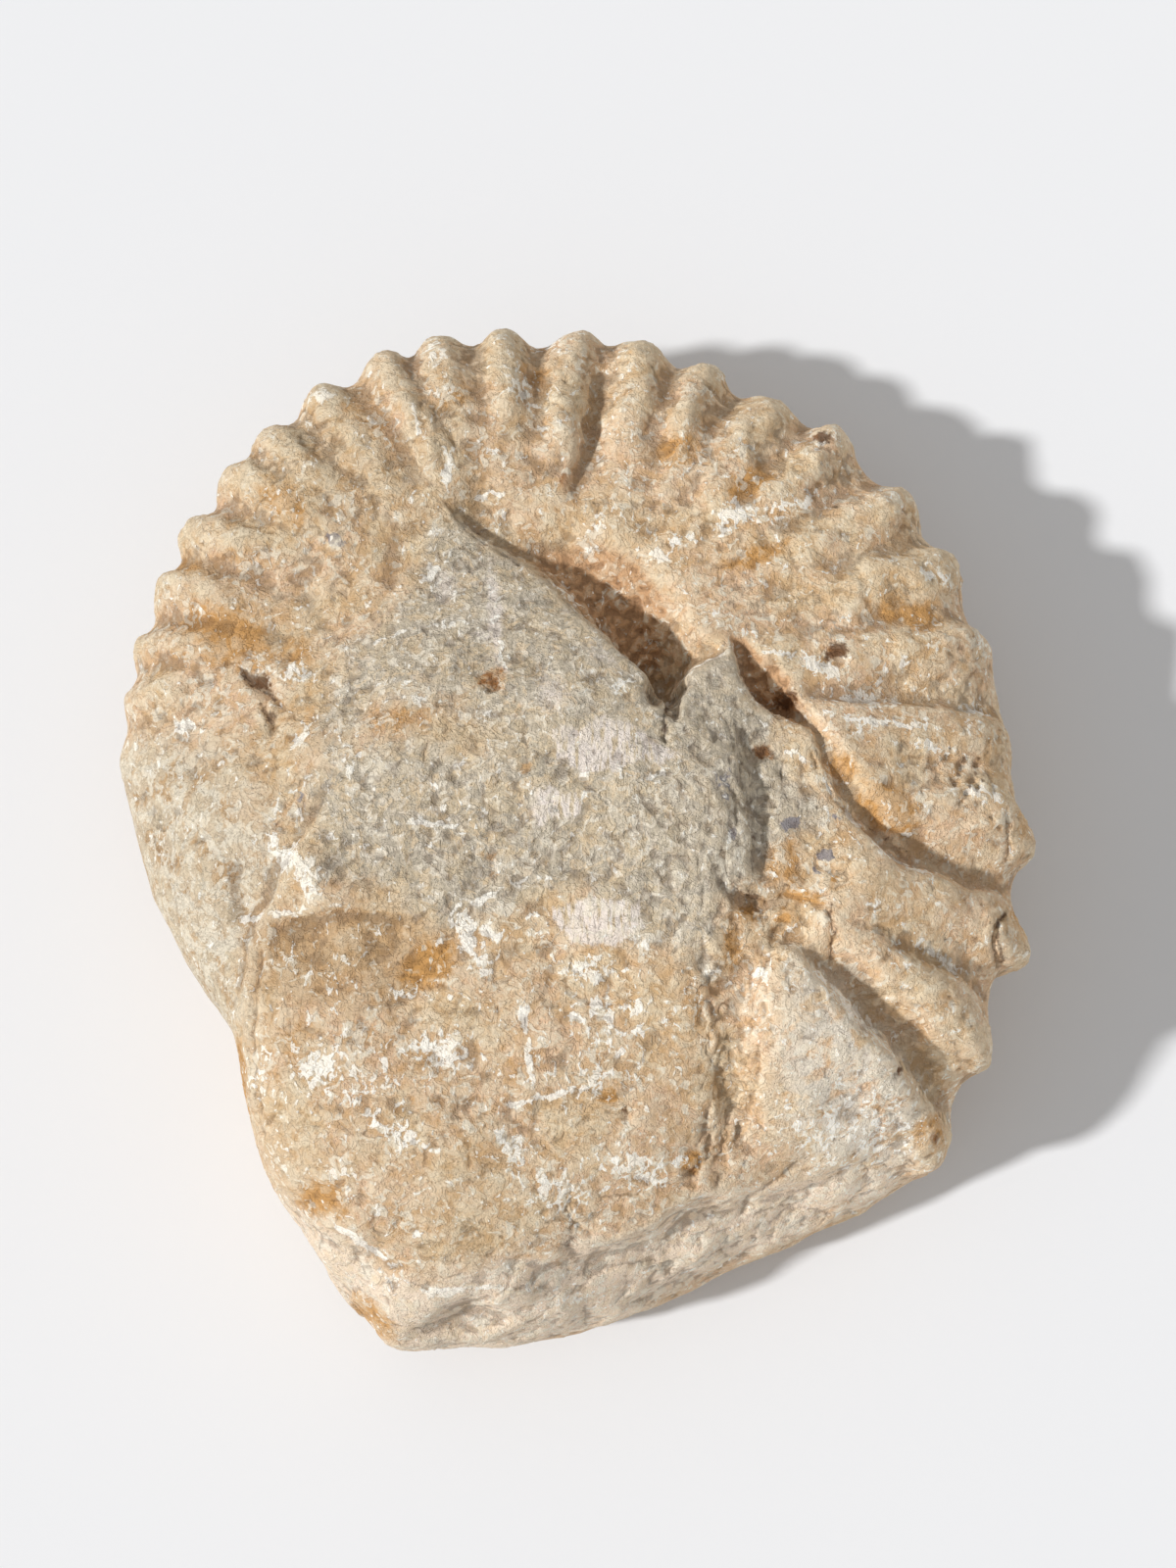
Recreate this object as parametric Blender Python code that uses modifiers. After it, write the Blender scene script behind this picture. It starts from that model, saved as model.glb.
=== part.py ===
"""Fossil ammonite: one ribbed stone mould lying on its side, its middle still filled with matrix.

The coil lies in the XY plane. +Y points to the ribbed back of the shell, +X to its right flank and +Z up.
Every place below is in millimetres from the middle of the object's footprint, with Z = 0 where it rests.
A sphere is moved point by point onto the stone's surface, which is worked out from the outline, the ribs
and the ledges below, and is then thinned to a faceted solid.
"""

import math

import bmesh
import bpy
import numpy as np
from mathutils import noise

# Driving dimensions, in metres.
WIDTH = 0.134
LENGTH = 0.151
THICKNESS = 0.0555

MM = 0.001
NAME = "ammonite"

# The resting face is worn flat up to this height, in metres.
WORN = 0.00012

# How finely the sphere is cut before it is thinned, and what is left.
SEGMENTS = 112
RINGS = 48
CUTS = 2
TRIANGLES = 9600

# The outline in the furrows between the ribs: (angle in degrees from +X, distance from the middle).
OUTLINE = (
    (-54, 68.7), (-44, 69.8), (-35, 67.4), (-22, 64.3), (-9, 63.8), (3, 63.6), (15, 64.9), (27, 66.1),
    (39, 68.9), (50, 70.4), (61, 71.0), (70, 70.7), (77, 72.4), (85, 74.1), (94, 73.1), (102, 74.9),
    (110, 75.0), (118, 74.7), (125, 73.5), (132, 71.8), (140, 70.8), (147, 70.7), (155, 69.7), (162, 68.3),
    (171, 68.4), (180, 65.5), (190, 63.0), (199, 59.6), (207, 57.5), (213, 57.1), (219, 60.7), (225, 64.6),
    (231, 68.3), (236, 70.0), (241, 73.5), (246, 75.8), (250, 78.4), (256, 76.3), (262, 74.8), (268, 72.8),
    (276, 70.3), (284, 68.2), (291, 66.8), (297, 66.9), (302, 67.5),
)
INWARD = 6.0  # how fast the outline's unevenness dies away towards the middle
SPREAD = 24.0  # the angle over which the outline is evened out there

# The height of the outline above the ground, and how square the stone's edge is there: 2 is round.
# (angle, height, squareness)
EDGE = (
    (-60, 7.0, 2.6), (-45, 9.6, 2.9), (-30, 26.1, 3.1), (0, 21.5, 3.9), (45, 20.7, 2.5),
    (90, 24.8, 2.1), (130, 27.8, 3.8), (150, 25.0, 3.2), (170, 24.0, 3.2), (185, 22.0, 3.4),
    (200, 21.0, 4.2), (216, 20.0, 6.5), (235, 16.0, 7.0), (250, 13.0, 4.8), (262, 11.0, 3.6),
    (275, 8.0, 3.0), (290, 7.0, 2.7),
)

CROWN = 42.0  # the height of the whorl's flank
REST_DEPTH = 1.6  # how far the underside would bulge below the ground if it weren't worn flat

# Each rib from its inner end to its tip, its height, and its width to the left and right of that path.
RIBS = (
    (((-51.5, 20.0), (-58.0, 18.8), (-65.4, 19.2)), 1.8, 2.7, 2.5),
    (((-46.5, 25.5), (-52.0, 25.0), (-59.5, 26.0), (-64.6, 26.8)), 2.4, 2.8, 2.5),
    (((-42.0, 29.5), (-47.5, 31.5), (-54.3, 34.2), (-62.0, 35.6)), 2.8, 3.0, 2.6),
    (((-37.7, 35.9), (-44.0, 38.6), (-50.8, 41.5), (-58.2, 44.0)), 3.2, 3.2, 2.7),
    (((-30.0, 35.5), (-36.4, 41.0), (-43.0, 46.6), (-52.6, 52.8)), 3.3, 3.3, 2.8),
    (((-29.9, 41.0), (-34.4, 46.2), (-39.5, 51.8), (-47.5, 59.0)), 3.2, 3.3, 2.8),
    (((-25.4, 45.7), (-29.7, 52.0), (-34.2, 58.4), (-39.8, 66.0)), 3.1, 3.3, 2.8),
    (((-18.6, 45.0), (-18.6, 50.0), (-20.5, 54.6), (-24.6, 60.4), (-30.2, 71.4)), 3.1, 3.2, 2.7),
    (((-15.3, 53.6), (-16.3, 57.8), (-18.4, 63.1), (-21.4, 74.6)), 3.0, 3.2, 2.7),
    (((-9.8, 50.7), (-9.7, 57.8), (-9.8, 64.0), (-10.6, 75.2)), 3.0, 3.2, 2.7),
    (((-2.8, 49.3), (-2.4, 53.6), (-1.7, 60.3), (-0.2, 75.2)), 3.0, 3.2, 2.7),
    (((6.8, 42.4), (7.4, 52.5), (7.8, 59.0), (10.3, 73.6)), 2.5, 3.2, 2.9),
    (((12.2, 45.2), (14.4, 53.9), (15.6, 59.6), (19.8, 70.0)), 2.7, 3.0, 2.9),
    (((17.8, 42.4), (22.1, 52.8), (25.0, 58.4), (30.2, 65.2)), 2.6, 3.0, 3.4),
    (((23.7, 43.4), (28.3, 47.7), (33.4, 51.7), (39.6, 60.2)), 2.7, 2.9, 3.8),
    (((28.2, 37.6), (34.5, 41.6), (41.1, 45.4), (49.8, 50.0)), 2.5, 2.8, 4.2),
    (((28.1, 28.4), (36.4, 33.8), (44.3, 36.8), (56.8, 39.6)), 2.4, 2.4, 4.4),
    (((29.9, 24.3), (35.9, 24.2), (43.2, 25.0), (60.0, 27.6)), 1.5, 2.0, 4.6),
    (((34.1, 12.4), (43.0, 12.4), (51.6, 12.4), (63.2, 13.0)), 1.0, 2.6, 4.4),
    (((38.8, 6.3), (47.1, 5.1), (55.3, 5.3), (63.6, 5.4)), 0.7, 2.6, 4.0),
    (((43.5, 0.7), (51.3, 1.8), (58.7, 1.3), (67.0, -2.0)), 2.6, 3.0, 3.4),
    (((41.8, -7.5), (48.2, -9.0), (54.0, -11.4), (60.0, -15.0), (65.0, -17.6)), 2.2, 3.2, 3.6),
    (((41.1, -18.0), (47.2, -22.2), (52.8, -27.0), (60.8, -33.4)), 2.8, 3.2, 3.4),
    (((31.5, -24.5), (38.1, -31.0), (43.6, -35.2), (52.6, -45.2)), 1.8, 3.6, 5.0),
)
ROUNDNESS = 2.4  # the power that shapes a rib across its width
ROUNDED_OFF = 3.8  # the height above which the ribs are worn blunt

# How unevenly the ribs are worn: (size of the patches, share of the height).
RIB_WEAR = ((8.0, 0.36), (3.6, 0.28))

# The knobs at the ribs' tips: the common ones, as a share of the rib's height, and the ones that
# stand out more, each with its place, radius and height.
KNOB_RADIUS = 3.4
KNOB_HEIGHT = 0.4
KNOBS = (
    (63.6, -17.4, 3.0, 3.2), (65.6, -3.0, 3.4, 1.6), (58.6, -34.0, 2.4, 0.8), (36.4, 57.0, 2.6, 0.8),
    (49.0, -45.8, 2.8, 1.2),
)

# Ledges: (name, path of (x, y, drop, how far the drop runs, how far the low side takes to rise again)).
# The path is the upper edge, and the low side is on its left.
LEDGES = (
    ("matrix against the last whorl", (
        (31.6, 13.2, 0.0, 1.0, 2), (33.6, 9.4, 1.6, 1.2, 3), (35.6, 4.0, 2.4, 1.6, 4),
        (37.4, -0.6, 2.8, 1.8, 5), (41.2, -4.4, 4.0, 1.6, 5), (45.2, -7.2, 4.2, 1.8, 6),
        (52.0, -9.6, 3.4, 2.0, 6), (57.0, -10.6, 2.6, 2.0, 5), (64.0, -11.4, 2.0, 2.0, 4))),
    ("steep side of a rib", (
        (2.2, 73.0, 0.0, 1.2, 3), (1.5, 66.0, 1.2, 1.3, 4), (0.7, 60.0, 1.9, 1.3, 5),
        (-0.4, 55.0, 1.9, 1.3, 5), (-1.4, 50.4, 1.5, 1.2, 5), (-2.0, 46.4, 0.0, 1.2, 3))),
    ("edge of a rib", (
        (30.5, 15.4, 0.0, 1.0, 4), (37.9, 15.4, 1.5, 1.0, 6), (42.8, 15.8, 1.8, 1.1, 7),
        (52.0, 16.0, 1.7, 1.2, 7), (58.1, 15.6, 1.4, 1.2, 6), (64.0, 14.2, 0.8, 1.2, 5))),
    ("crease under a rib", (
        (38.0, -16.3, 0.0, 1.6, 5), (42.0, -18.6, 1.0, 1.6, 7), (45.5, -20.2, 1.4, 1.6, 7),
        (51.2, -22.4, 1.7, 1.6, 7), (58.8, -26.0, 1.6, 1.6, 6), (64.0, -28.6, 1.2, 1.6, 5))),
    ("furrow beside the last rib", (
        (25.7, -19.4, 0.0, 2.0, 3), (29.6, -20.6, 2.2, 2.4, 5), (34.0, -25.2, 3.8, 2.8, 6),
        (39.0, -30.2, 4.6, 3.0, 6), (43.8, -34.8, 4.8, 3.0, 6), (47.4, -39.4, 4.0, 3.0, 5),
        (54.0, -45.0, 2.0, 2.6, 4))),
    ("broken lower edge", (
        (44.0, -46.4, 0.0, 1.6, 12), (38.9, -48.0, 2.4, 1.8, 15), (32.7, -49.6, 4.0, 2.0, 18),
        (27.0, -51.6, 5.0, 2.2, 20), (21.5, -52.6, 5.8, 2.4, 20), (17.9, -52.4, 6.2, 2.4, 20),
        (13.6, -54.5, 6.6, 2.4, 20), (10.2, -57.8, 6.8, 2.2, 19), (6.3, -59.1, 6.2, 2.2, 17),
        (1.2, -59.7, 4.8, 2.2, 14), (-2.9, -60.4, 3.4, 2.0, 11), (-7.4, -60.4, 2.0, 1.8, 9),
        (-12.0, -62.0, 0.0, 1.6, 8))),
    ("rim of the lowest break", (
        (30.0, -57.0, 0.0, 1.2, 5), (24.0, -59.2, 1.6, 1.2, 6), (17.0, -62.4, 2.2, 1.2, 6),
        (11.2, -65.1, 2.0, 1.2, 5), (5.0, -67.4, 0.0, 1.2, 4))),
    ("hollow under the lower lip", (
        (-2.6, -66.4, 0.0, 2.0, 4), (-7.6, -66.6, 3.0, 2.2, 4.5), (-11.4, -67.0, 5.5, 2.4, 4.5),
        (-15.4, -66.2, 6.8, 2.6, 5), (-19.6, -68.0, 5.0, 2.4, 4.5), (-23.0, -70.0, 2.5, 2.0, 4),
        (-25.6, -71.5, 0.0, 1.6, 3))),
    ("shoulder of the left foot", (
        (-22.0, -60.8, 0.0, 2.4, 9), (-27.6, -59.4, 2.0, 2.4, 11), (-32.4, -58.2, 2.8, 2.4, 12),
        (-36.9, -55.5, 2.8, 2.4, 10), (-40.4, -51.6, 1.8, 2.2, 8), (-43.4, -46.6, 0.0, 2.0, 6))),
    ("left edge of the matrix", (
        (-48.5, -42.0, 0.0, 1.4, 8), (-47.0, -30.0, 1.6, 1.4, 10), (-44.6, -19.0, 2.2, 1.4, 11),
        (-40.5, -10.5, 2.4, 1.6, 12), (-36.0, -3.0, 1.6, 1.6, 12), (-32.0, 4.0, 0.0, 1.6, 10))),
    ("foot of the grey matrix", (
        (-20.0, -14.6, 0.0, 1.2, 6), (-26.0, -14.6, 1.0, 1.2, 8), (-33.0, -14.2, 1.6, 1.2, 9),
        (-40.0, -15.6, 1.4, 1.2, 9), (-47.0, -17.0, 0.0, 1.2, 8))),
    ("right face of the matrix", (
        (12.9, 14.0, 0.0, 9.0, 12), (15.4, 7.4, 2.2, 11.0, 14), (16.6, 2.0, 3.0, 13.0, 14),
        (16.8, -4.0, 3.2, 14.0, 14), (17.0, -10.0, 3.0, 13.0, 14), (17.4, -17.0, 2.4, 8.0, 10),
        (17.6, -24.0, 1.9, 4.0, 6), (18.0, -31.0, 1.8, 3.0, 5), (18.8, -38.0, 1.6, 2.8, 5),
        (20.6, -44.0, 1.2, 2.4, 4), (22.4, -49.0, 0.0, 2.2, 3))),
    ("split down the right face", (
        (21.8, 11.6, 0.0, 0.7, 4), (23.0, 7.4, 1.2, 0.7, 6), (23.8, 2.0, 1.6, 0.7, 6),
        (24.1, -3.0, 1.6, 0.7, 5), (24.5, -7.6, 1.4, 0.7, 3), (25.2, -11.0, 0.0, 0.7, 3))),
    ("crack at the foot of the right face", (
        (33.6, -13.6, 0.0, 0.8, 1.2), (28.3, -11.8, 1.2, 0.8, 1.4), (23.4, -12.6, 1.8, 0.9, 1.5),
        (20.9, -10.6, 1.6, 0.9, 1.4), (19.8, -6.6, 0.0, 0.8, 1.2))),
)

# The edges round the hollow that the matrix doesn't fill, written in the same way.
# Where they overlap the deepest counts, while ledges elsewhere add up.
HOLLOW = (
    ("matrix over the umbilicus", (
        (-20.5, 46.6, 0.0, 1.2, 6), (-18.2, 44.3, 1.4, 1.0, 7), (-14.9, 41.0, 2.4, 1.2, 8),
        (-10.1, 37.7, 3.0, 2.0, 10), (-6.9, 35.2, 4.0, 3.4, 11), (-2.6, 30.8, 6.5, 4.0, 12),
        (0.5, 26.8, 9.5, 3.4, 13), (4.2, 23.3, 12.5, 2.8, 13), (7.4, 20.3, 15.0, 2.4, 12),
        (10.0, 18.0, 17.0, 2.0, 9), (11.7, 15.9, 15.0, 1.5, 4), (12.5, 13.2, 6.0, 1.0, 1.4),
        (12.8, 10.6, 0.0, 0.8, 1.0))),
    ("right lobe's facet", (
        (12.6, 13.0, 0.0, 1.4, 2), (12.9, 15.4, 12.0, 1.6, 2), (14.0, 17.8, 10.0, 1.8, 3),
        (15.9, 19.5, 6.0, 2.4, 3.5), (18.5, 20.6, 4.0, 2.4, 3.5), (21.2, 21.8, 2.4, 1.8, 3),
        (22.0, 24.4, 0.0, 1.0, 2))),
    ("trench beside the lobe", (
        (21.6, 25.6, 0.0, 0.8, 2), (22.2, 23.2, 2.6, 1.0, 3), (23.0, 18.9, 6.0, 1.4, 5),
        (25.4, 15.4, 7.5, 1.6, 5.5), (28.0, 13.4, 7.5, 1.6, 5), (30.7, 12.8, 5.0, 1.2, 2.5),
        (32.6, 11.6, 1.6, 1.0, 2), (33.8, 9.6, 0.0, 1.0, 2))),
)

# Broad rises and hollows of the upper face: (x, y, reach along, reach across, turn in degrees, height,
# flatness of the top: 1 is round).
SWELLS = (
    (-6.0, -22.0, 55.0, 52.0, 0, 11.0, 3),
    (-4.0, 14.0, 24.0, 20.0, 0, 2.5, 1),
    (35.0, -37.0, 14.0, 11.0, -45, 3.4, 2),
    (-25.0, -22.0, 9.0, 6.0, 10, -1.4, 1),
    (-38.5, -8.0, 13.0, 3.6, -52, 1.6, 1),
    (-20.0, -52.0, 16.0, 10.0, 20, 1.2, 1),
    (6.0, -45.0, 12.0, 9.0, 0, 0.8, 1),
    (-46.0, -30.0, 20.0, 4.0, 88, 0.8, 1),
    (44.0, -1.0, 6.0, 5.0, 0, -1.2, 1),
    (-50.0, 4.0, 12.0, 7.0, 60, 0.9, 1),
    (-28.0, 8.0, 10.0, 7.0, 40, 0.7, 1),
)

# Unevenness all over: (size of the lumps, height).
LUMPS = ((19.0, 1.0), (9.5, 0.55), (5.0, 0.3))
WANDER = (7.0, 0.9)  # how far the ribs and ledges stray from their paths: (size of the bends, distance)

# The underside's umbilicus: (x, y, radius, depth).
LOWER_UMBILICUS = (10.0, 18.0, 11.0, 9.0)


def smooth_step(low, high, value):
    """0 below low, 1 above high and a smooth rise between them."""
    share = np.clip((value - low) / (high - low), 0.0, 1.0)
    return share * share * (3.0 - 2.0 * share)


def around(knots, column, degrees):
    """A smooth closed curve through one column of the knots, read at these angles."""
    angle, value = (np.array([knot[i] for knot in knots], float) for i in (0, column))
    angle = np.concatenate([angle[-2:] - 360.0, angle, angle[:2] + 360.0])
    value = np.concatenate([value[-2:], value, value[:2]])
    slope = np.gradient(value, angle)
    at = (degrees - angle[2]) % 360.0 + angle[2]
    first = np.searchsorted(angle, at, side="right") - 1
    span = angle[first + 1] - angle[first]
    t = (at - angle[first]) / span
    return (
        (1 + 2 * t) * (1 - t) ** 2 * value[first]
        + t * (1 - t) ** 2 * span * slope[first]
        + t * t * (3 - 2 * t) * value[first + 1]
        + t * t * (t - 1) * span * slope[first + 1]
    )


def beside(path, x, y):
    """How far each point is to the left of a path, and the place along it that it is nearest to."""
    path = np.array(path, float)[:, :2]
    nearest = np.full(x.shape, np.inf)
    across = np.zeros(x.shape)
    along = np.zeros(x.shape)
    for number, ((x0, y0), (x1, y1)) in enumerate(zip(path[:-1], path[1:])):
        length = math.hypot(x1 - x0, y1 - y0)
        ux, uy = (x1 - x0) / length, (y1 - y0) / length
        reach = np.clip((x - x0) * ux + (y - y0) * uy, 0.0, length)
        distance = np.hypot(x - x0 - reach * ux, y - y0 - reach * uy)
        left = ux * (y - y0) - uy * (x - x0)
        tie = np.abs(distance - nearest) < 1e-6
        closer = np.where(tie, np.abs(left) > np.abs(across), distance < nearest)
        nearest = np.where(closer, distance, nearest)
        across = np.where(closer, left, across)
        along = np.where(closer, number + reach / length, along)
    return np.copysign(nearest, across), along


def rib_height(x, y):
    """How far the ribs stand out at each place."""
    height = np.zeros(x.shape)
    for path, top, left, right in RIBS:
        across, along = beside(path, x, y)
        share = along / (len(path) - 1)
        spread = np.where(across > 0, left, right)
        grown = top * (0.12 + 0.88 * smooth_step(0.0, 0.75, share))
        height += grown * np.exp(-(np.abs(across / spread) ** ROUNDNESS))
        (x0, y0), (x1, y1) = path[-2:]
        knob_x, knob_y = x1 + 0.2 * (x0 - x1), y1 + 0.2 * (y0 - y1)
        distance = np.hypot(x - knob_x, y - knob_y)
        height += KNOB_HEIGHT * top * np.exp(-((distance / KNOB_RADIUS) ** 2))
    for size, share in RIB_WEAR:
        height *= 1.0 + share * bumps(size, x, y, np.zeros(x.shape))
    height = ROUNDED_OFF * np.tanh(height / ROUNDED_OFF)
    for knob_x, knob_y, radius, top in KNOBS:
        distance = np.hypot(x - knob_x, y - knob_y)
        height += top * np.exp(-((distance / radius) ** 3))
    return height


def below_ledge(path, x, y):
    """How far the face is let down beside one ledge."""
    across, along = beside(path, x, y)
    places = np.arange(len(path))
    drop, run, reach = (np.interp(along, places, [point[i] for point in path]) for i in (2, 3, 4))
    fall = smooth_step(0.0, 1.0, across / run)
    rise = smooth_step(0.0, 1.0, (across - run) / reach)
    return drop * fall * (1.0 - rise)


def ledge_relief(x, y):
    """How far the upper face is let down beside all its ledges."""
    added_up = sum(below_ledge(path, x, y) for _, path in LEDGES)
    deepest = np.maximum.reduce([below_ledge(path, x, y) for _, path in HOLLOW])
    return -(added_up + deepest)


def swell_relief(x, y):
    """The broad rises and hollows of the upper face."""
    relief = np.zeros(x.shape)
    for x0, y0, reach_along, reach_across, turn, height, flatness in SWELLS:
        c, s = math.cos(math.radians(turn)), math.sin(math.radians(turn))
        u = ((x - x0) * c + (y - y0) * s) / reach_along
        v = ((y - y0) * c - (x - x0) * s) / reach_across
        relief += height * np.exp(-((u * u + v * v) ** flatness))
    return relief


def bumps(size, *place):
    """Smooth noise with lumps of this size, about -1 to 1."""
    return np.array([noise.noise(point) for point in (np.stack(place, axis=1) / size).tolist()])


def wandered(x, y, z):
    """The same places moved a little, so that lines drawn there come out crooked."""
    size, distance = WANDER
    return x + distance * bumps(size, x + 50.0, y, z), y + distance * bumps(size, x, y + 50.0, z)


def stone_surface(directions):
    """The stone's surface, in millimetres, in each of these directions from its middle."""
    dx, dy, dz = directions.T
    degrees = np.degrees(np.arctan2(dy, dx))
    even = np.mean([around(OUTLINE, 1, degrees + turn) for turn in np.linspace(-SPREAD, SPREAD, 9)], axis=0)
    uneven = around(OUTLINE, 1, degrees) - even
    edge = around(EDGE, 1, degrees)
    square = around(EDGE, 2, degrees)

    # A rounded slab: "out" runs from 0 at the middle to 1 at the edge, and "cap" from 1 to 0.
    out, cap = np.hypot(dx, dy), np.abs(dz)
    size = (out**square + cap**square) ** (-1.0 / square)
    out, cap = out * size, cap * size
    angle = np.radians(degrees)
    radius = even + uneven * out**INWARD
    x, y = radius * out * np.cos(angle), radius * out * np.sin(angle)

    upper = dz > 0
    height = np.where(upper, CROWN + swell_relief(x, y) - edge, edge + REST_DEPTH)
    z = edge + np.where(upper, height, -height) * cap

    # The way out of the slab there, along which the ribs and the lumps stand.
    side = out ** (square - 1) / radius
    face = np.where(upper, 1.0, -1.0) * cap ** (square - 1) / height
    length = np.hypot(side, face)
    stand = rib_height(*wandered(x, y, z)) + sum(amount * bumps(lump, x, y, z) for lump, amount in LUMPS)
    x = x + stand * side / length * np.cos(angle)
    y = y + stand * side / length * np.sin(angle)
    z = z + stand * face / length

    z += np.where(upper, ledge_relief(*wandered(x, y, z)) * smooth_step(0.0, 0.45, cap), 0.0)
    hollow_x, hollow_y, hollow_radius, hollow_depth = LOWER_UMBILICUS
    distance = np.hypot(x - hollow_x, y - hollow_y) / hollow_radius
    z += np.where(upper, 0.0, hollow_depth * np.exp(-(distance**2)))
    return np.stack([x, y, np.maximum(z, 0.0)], axis=1)


def fitted(points):
    """The points scaled to the object's real size, centred over its resting face."""
    low, high = points.min(axis=0), points.max(axis=0)
    size = np.array([WIDTH, LENGTH, THICKNESS])
    middle = np.array([(low[0] + high[0]) / 2, (low[1] + high[1]) / 2, low[2]])
    return (points - middle) * size / (high - low)


def points_of(mesh):
    """A mesh's points as an array."""
    flat = np.empty(len(mesh.vertices) * 3)
    mesh.vertices.foreach_get("co", flat)
    return flat.reshape(-1, 3)


def move_points(mesh, points):
    mesh.vertices.foreach_set("co", points.reshape(-1))
    mesh.update()


def through(mesh, kind, **settings):
    """The mesh after one modifier."""
    holder = bpy.data.objects.new("holder", mesh)
    bpy.context.scene.collection.objects.link(holder)
    modifier = holder.modifiers.new(kind, kind)
    for name, value in settings.items():
        setattr(modifier, name, value)
    result = bpy.data.meshes.new_from_object(holder.evaluated_get(bpy.context.evaluated_depsgraph_get()))
    bpy.data.objects.remove(holder)
    bpy.data.meshes.remove(mesh)
    return result


def sculpted_mesh():
    """A sphere moved onto the stone's surface."""
    shape = bmesh.new()
    bmesh.ops.create_uvsphere(shape, u_segments=SEGMENTS, v_segments=RINGS, radius=1.0)
    mesh = bpy.data.meshes.new(NAME)
    shape.to_mesh(mesh)
    shape.free()
    mesh = through(mesh, "SUBSURF", subdivision_type="SIMPLE", levels=CUTS, render_levels=CUTS)
    directions = points_of(mesh)
    directions /= np.linalg.norm(directions, axis=1)[:, None]
    move_points(mesh, stone_surface(directions) * MM)
    return mesh


def thinned(mesh, triangles):
    """The same shape in fewer triangles, most of them where it bends."""
    mesh.calc_loop_triangles()
    return through(mesh, "DECIMATE", ratio=triangles / len(mesh.loop_triangles))


def stone_material():
    material = bpy.data.materials.new("stone")
    material.use_nodes = True
    shader = material.node_tree.nodes["Principled BSDF"]
    shader.inputs["Base Color"].default_value = (0.52, 0.38, 0.25, 1.0)
    shader.inputs["Roughness"].default_value = 0.8
    shader.inputs["Metallic"].default_value = 0.0
    return material


def main():
    for item in list(bpy.data.objects):
        bpy.data.objects.remove(item, do_unlink=True)
    collection = bpy.data.collections.new("fossil_ammonite")
    bpy.context.scene.collection.children.link(collection)

    mesh = thinned(sculpted_mesh(), TRIANGLES)
    points = points_of(mesh)
    points[points[:, 2] < WORN, 2] = 0.0
    move_points(mesh, fitted(points))
    mesh.name = NAME
    mesh.shade_smooth()
    mesh.set_sharp_from_angle(angle=math.radians(50))
    mesh.materials.append(stone_material())
    collection.objects.link(bpy.data.objects.new(NAME, mesh))


if __name__ == "__main__":
    main()
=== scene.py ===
"""Fossil ammonite: a weathered, ribbed stone coil lying on its side, with grey matrix filling its middle.

It is laid out as an add-on and run as a script. Places are in millimetres from the middle of the footprint,
+Y towards the ribbed back, +X towards the last ribs and +Z up, until they go into a mesh, which is in metres.
"""

import math

import bmesh
import bpy
import numpy as np
from bpy.props import FloatProperty, FloatVectorProperty, IntProperty, PointerProperty
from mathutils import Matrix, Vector, noise


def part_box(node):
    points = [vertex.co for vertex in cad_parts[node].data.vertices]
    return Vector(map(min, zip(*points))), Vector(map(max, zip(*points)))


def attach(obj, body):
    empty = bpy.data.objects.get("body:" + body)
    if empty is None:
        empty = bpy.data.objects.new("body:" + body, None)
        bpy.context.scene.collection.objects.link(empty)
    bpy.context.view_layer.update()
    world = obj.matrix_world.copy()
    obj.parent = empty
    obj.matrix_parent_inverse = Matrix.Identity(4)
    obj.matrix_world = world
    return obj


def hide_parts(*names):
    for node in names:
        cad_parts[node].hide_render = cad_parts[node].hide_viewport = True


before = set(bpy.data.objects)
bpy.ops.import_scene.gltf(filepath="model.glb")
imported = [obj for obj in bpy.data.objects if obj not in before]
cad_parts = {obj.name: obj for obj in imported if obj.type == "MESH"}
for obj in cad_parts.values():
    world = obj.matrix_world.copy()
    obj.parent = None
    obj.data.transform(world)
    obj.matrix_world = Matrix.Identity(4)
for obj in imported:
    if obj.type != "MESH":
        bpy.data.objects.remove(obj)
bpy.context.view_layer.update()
LOW, HIGH = (np.array(corner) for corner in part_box("ammonite"))

bl_info = {
    "name": "Fossil ammonite",
    "version": (1, 0, 0),
    "blender": (4, 5, 0),
    "location": "3D View > Sidebar > Ammonite",
    "description": "A weathered fossil ammonite and a plain stage for it",
    "category": "Object",
}

MM = 0.001

# The stage, in metres.
CAMERA_TARGET = Vector((0.0018, 0.0060, 0.0280))
SUN_FROM = Vector((-31.0, -7.0, 28.0))
FLOOR_HALF = 2.5

# The material.
BUMP_HEIGHT = 0.0006
PAINTED_LIGHT_FROM_TO = (-60.0, 45.0)  # painted light and shade: the stone is painted paler towards +X, away from the sun, and darker towards -X, where it falls, between these

# How finely the sphere is cut before it becomes the stone.
SEGMENTS = 112
RINGS = 48
CUTS = 3

# The outline in the furrows between the ribs: (angle in degrees from +X, distance from the middle).
OUTLINE = (
    (-54, 68.7), (-44, 69.8), (-35, 67.4), (-22, 64.3), (-9, 63.8), (3, 63.6), (15, 64.9), (27, 66.1),
    (39, 68.9), (50, 70.4), (61, 71.0), (70, 70.7), (77, 72.4), (85, 74.1), (94, 73.1), (102, 74.9),
    (110, 75.0), (118, 74.7), (125, 73.5), (132, 71.8), (140, 70.8), (147, 70.7), (155, 69.7), (162, 68.3),
    (171, 68.4), (180, 65.5), (190, 63.0), (199, 59.6), (207, 57.5), (213, 57.1), (219, 60.7), (225, 64.6),
    (231, 68.3), (236, 70.0), (241, 73.5), (246, 75.8), (250, 78.4), (256, 76.3), (262, 74.8), (268, 72.8),
    (276, 70.3), (284, 68.2), (291, 66.8), (297, 66.9), (302, 67.5),
)
INWARD = 6.0  # how fast the outline's unevenness dies away towards the middle
SPREAD = 24.0  # the angle over which the outline is evened out there

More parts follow.
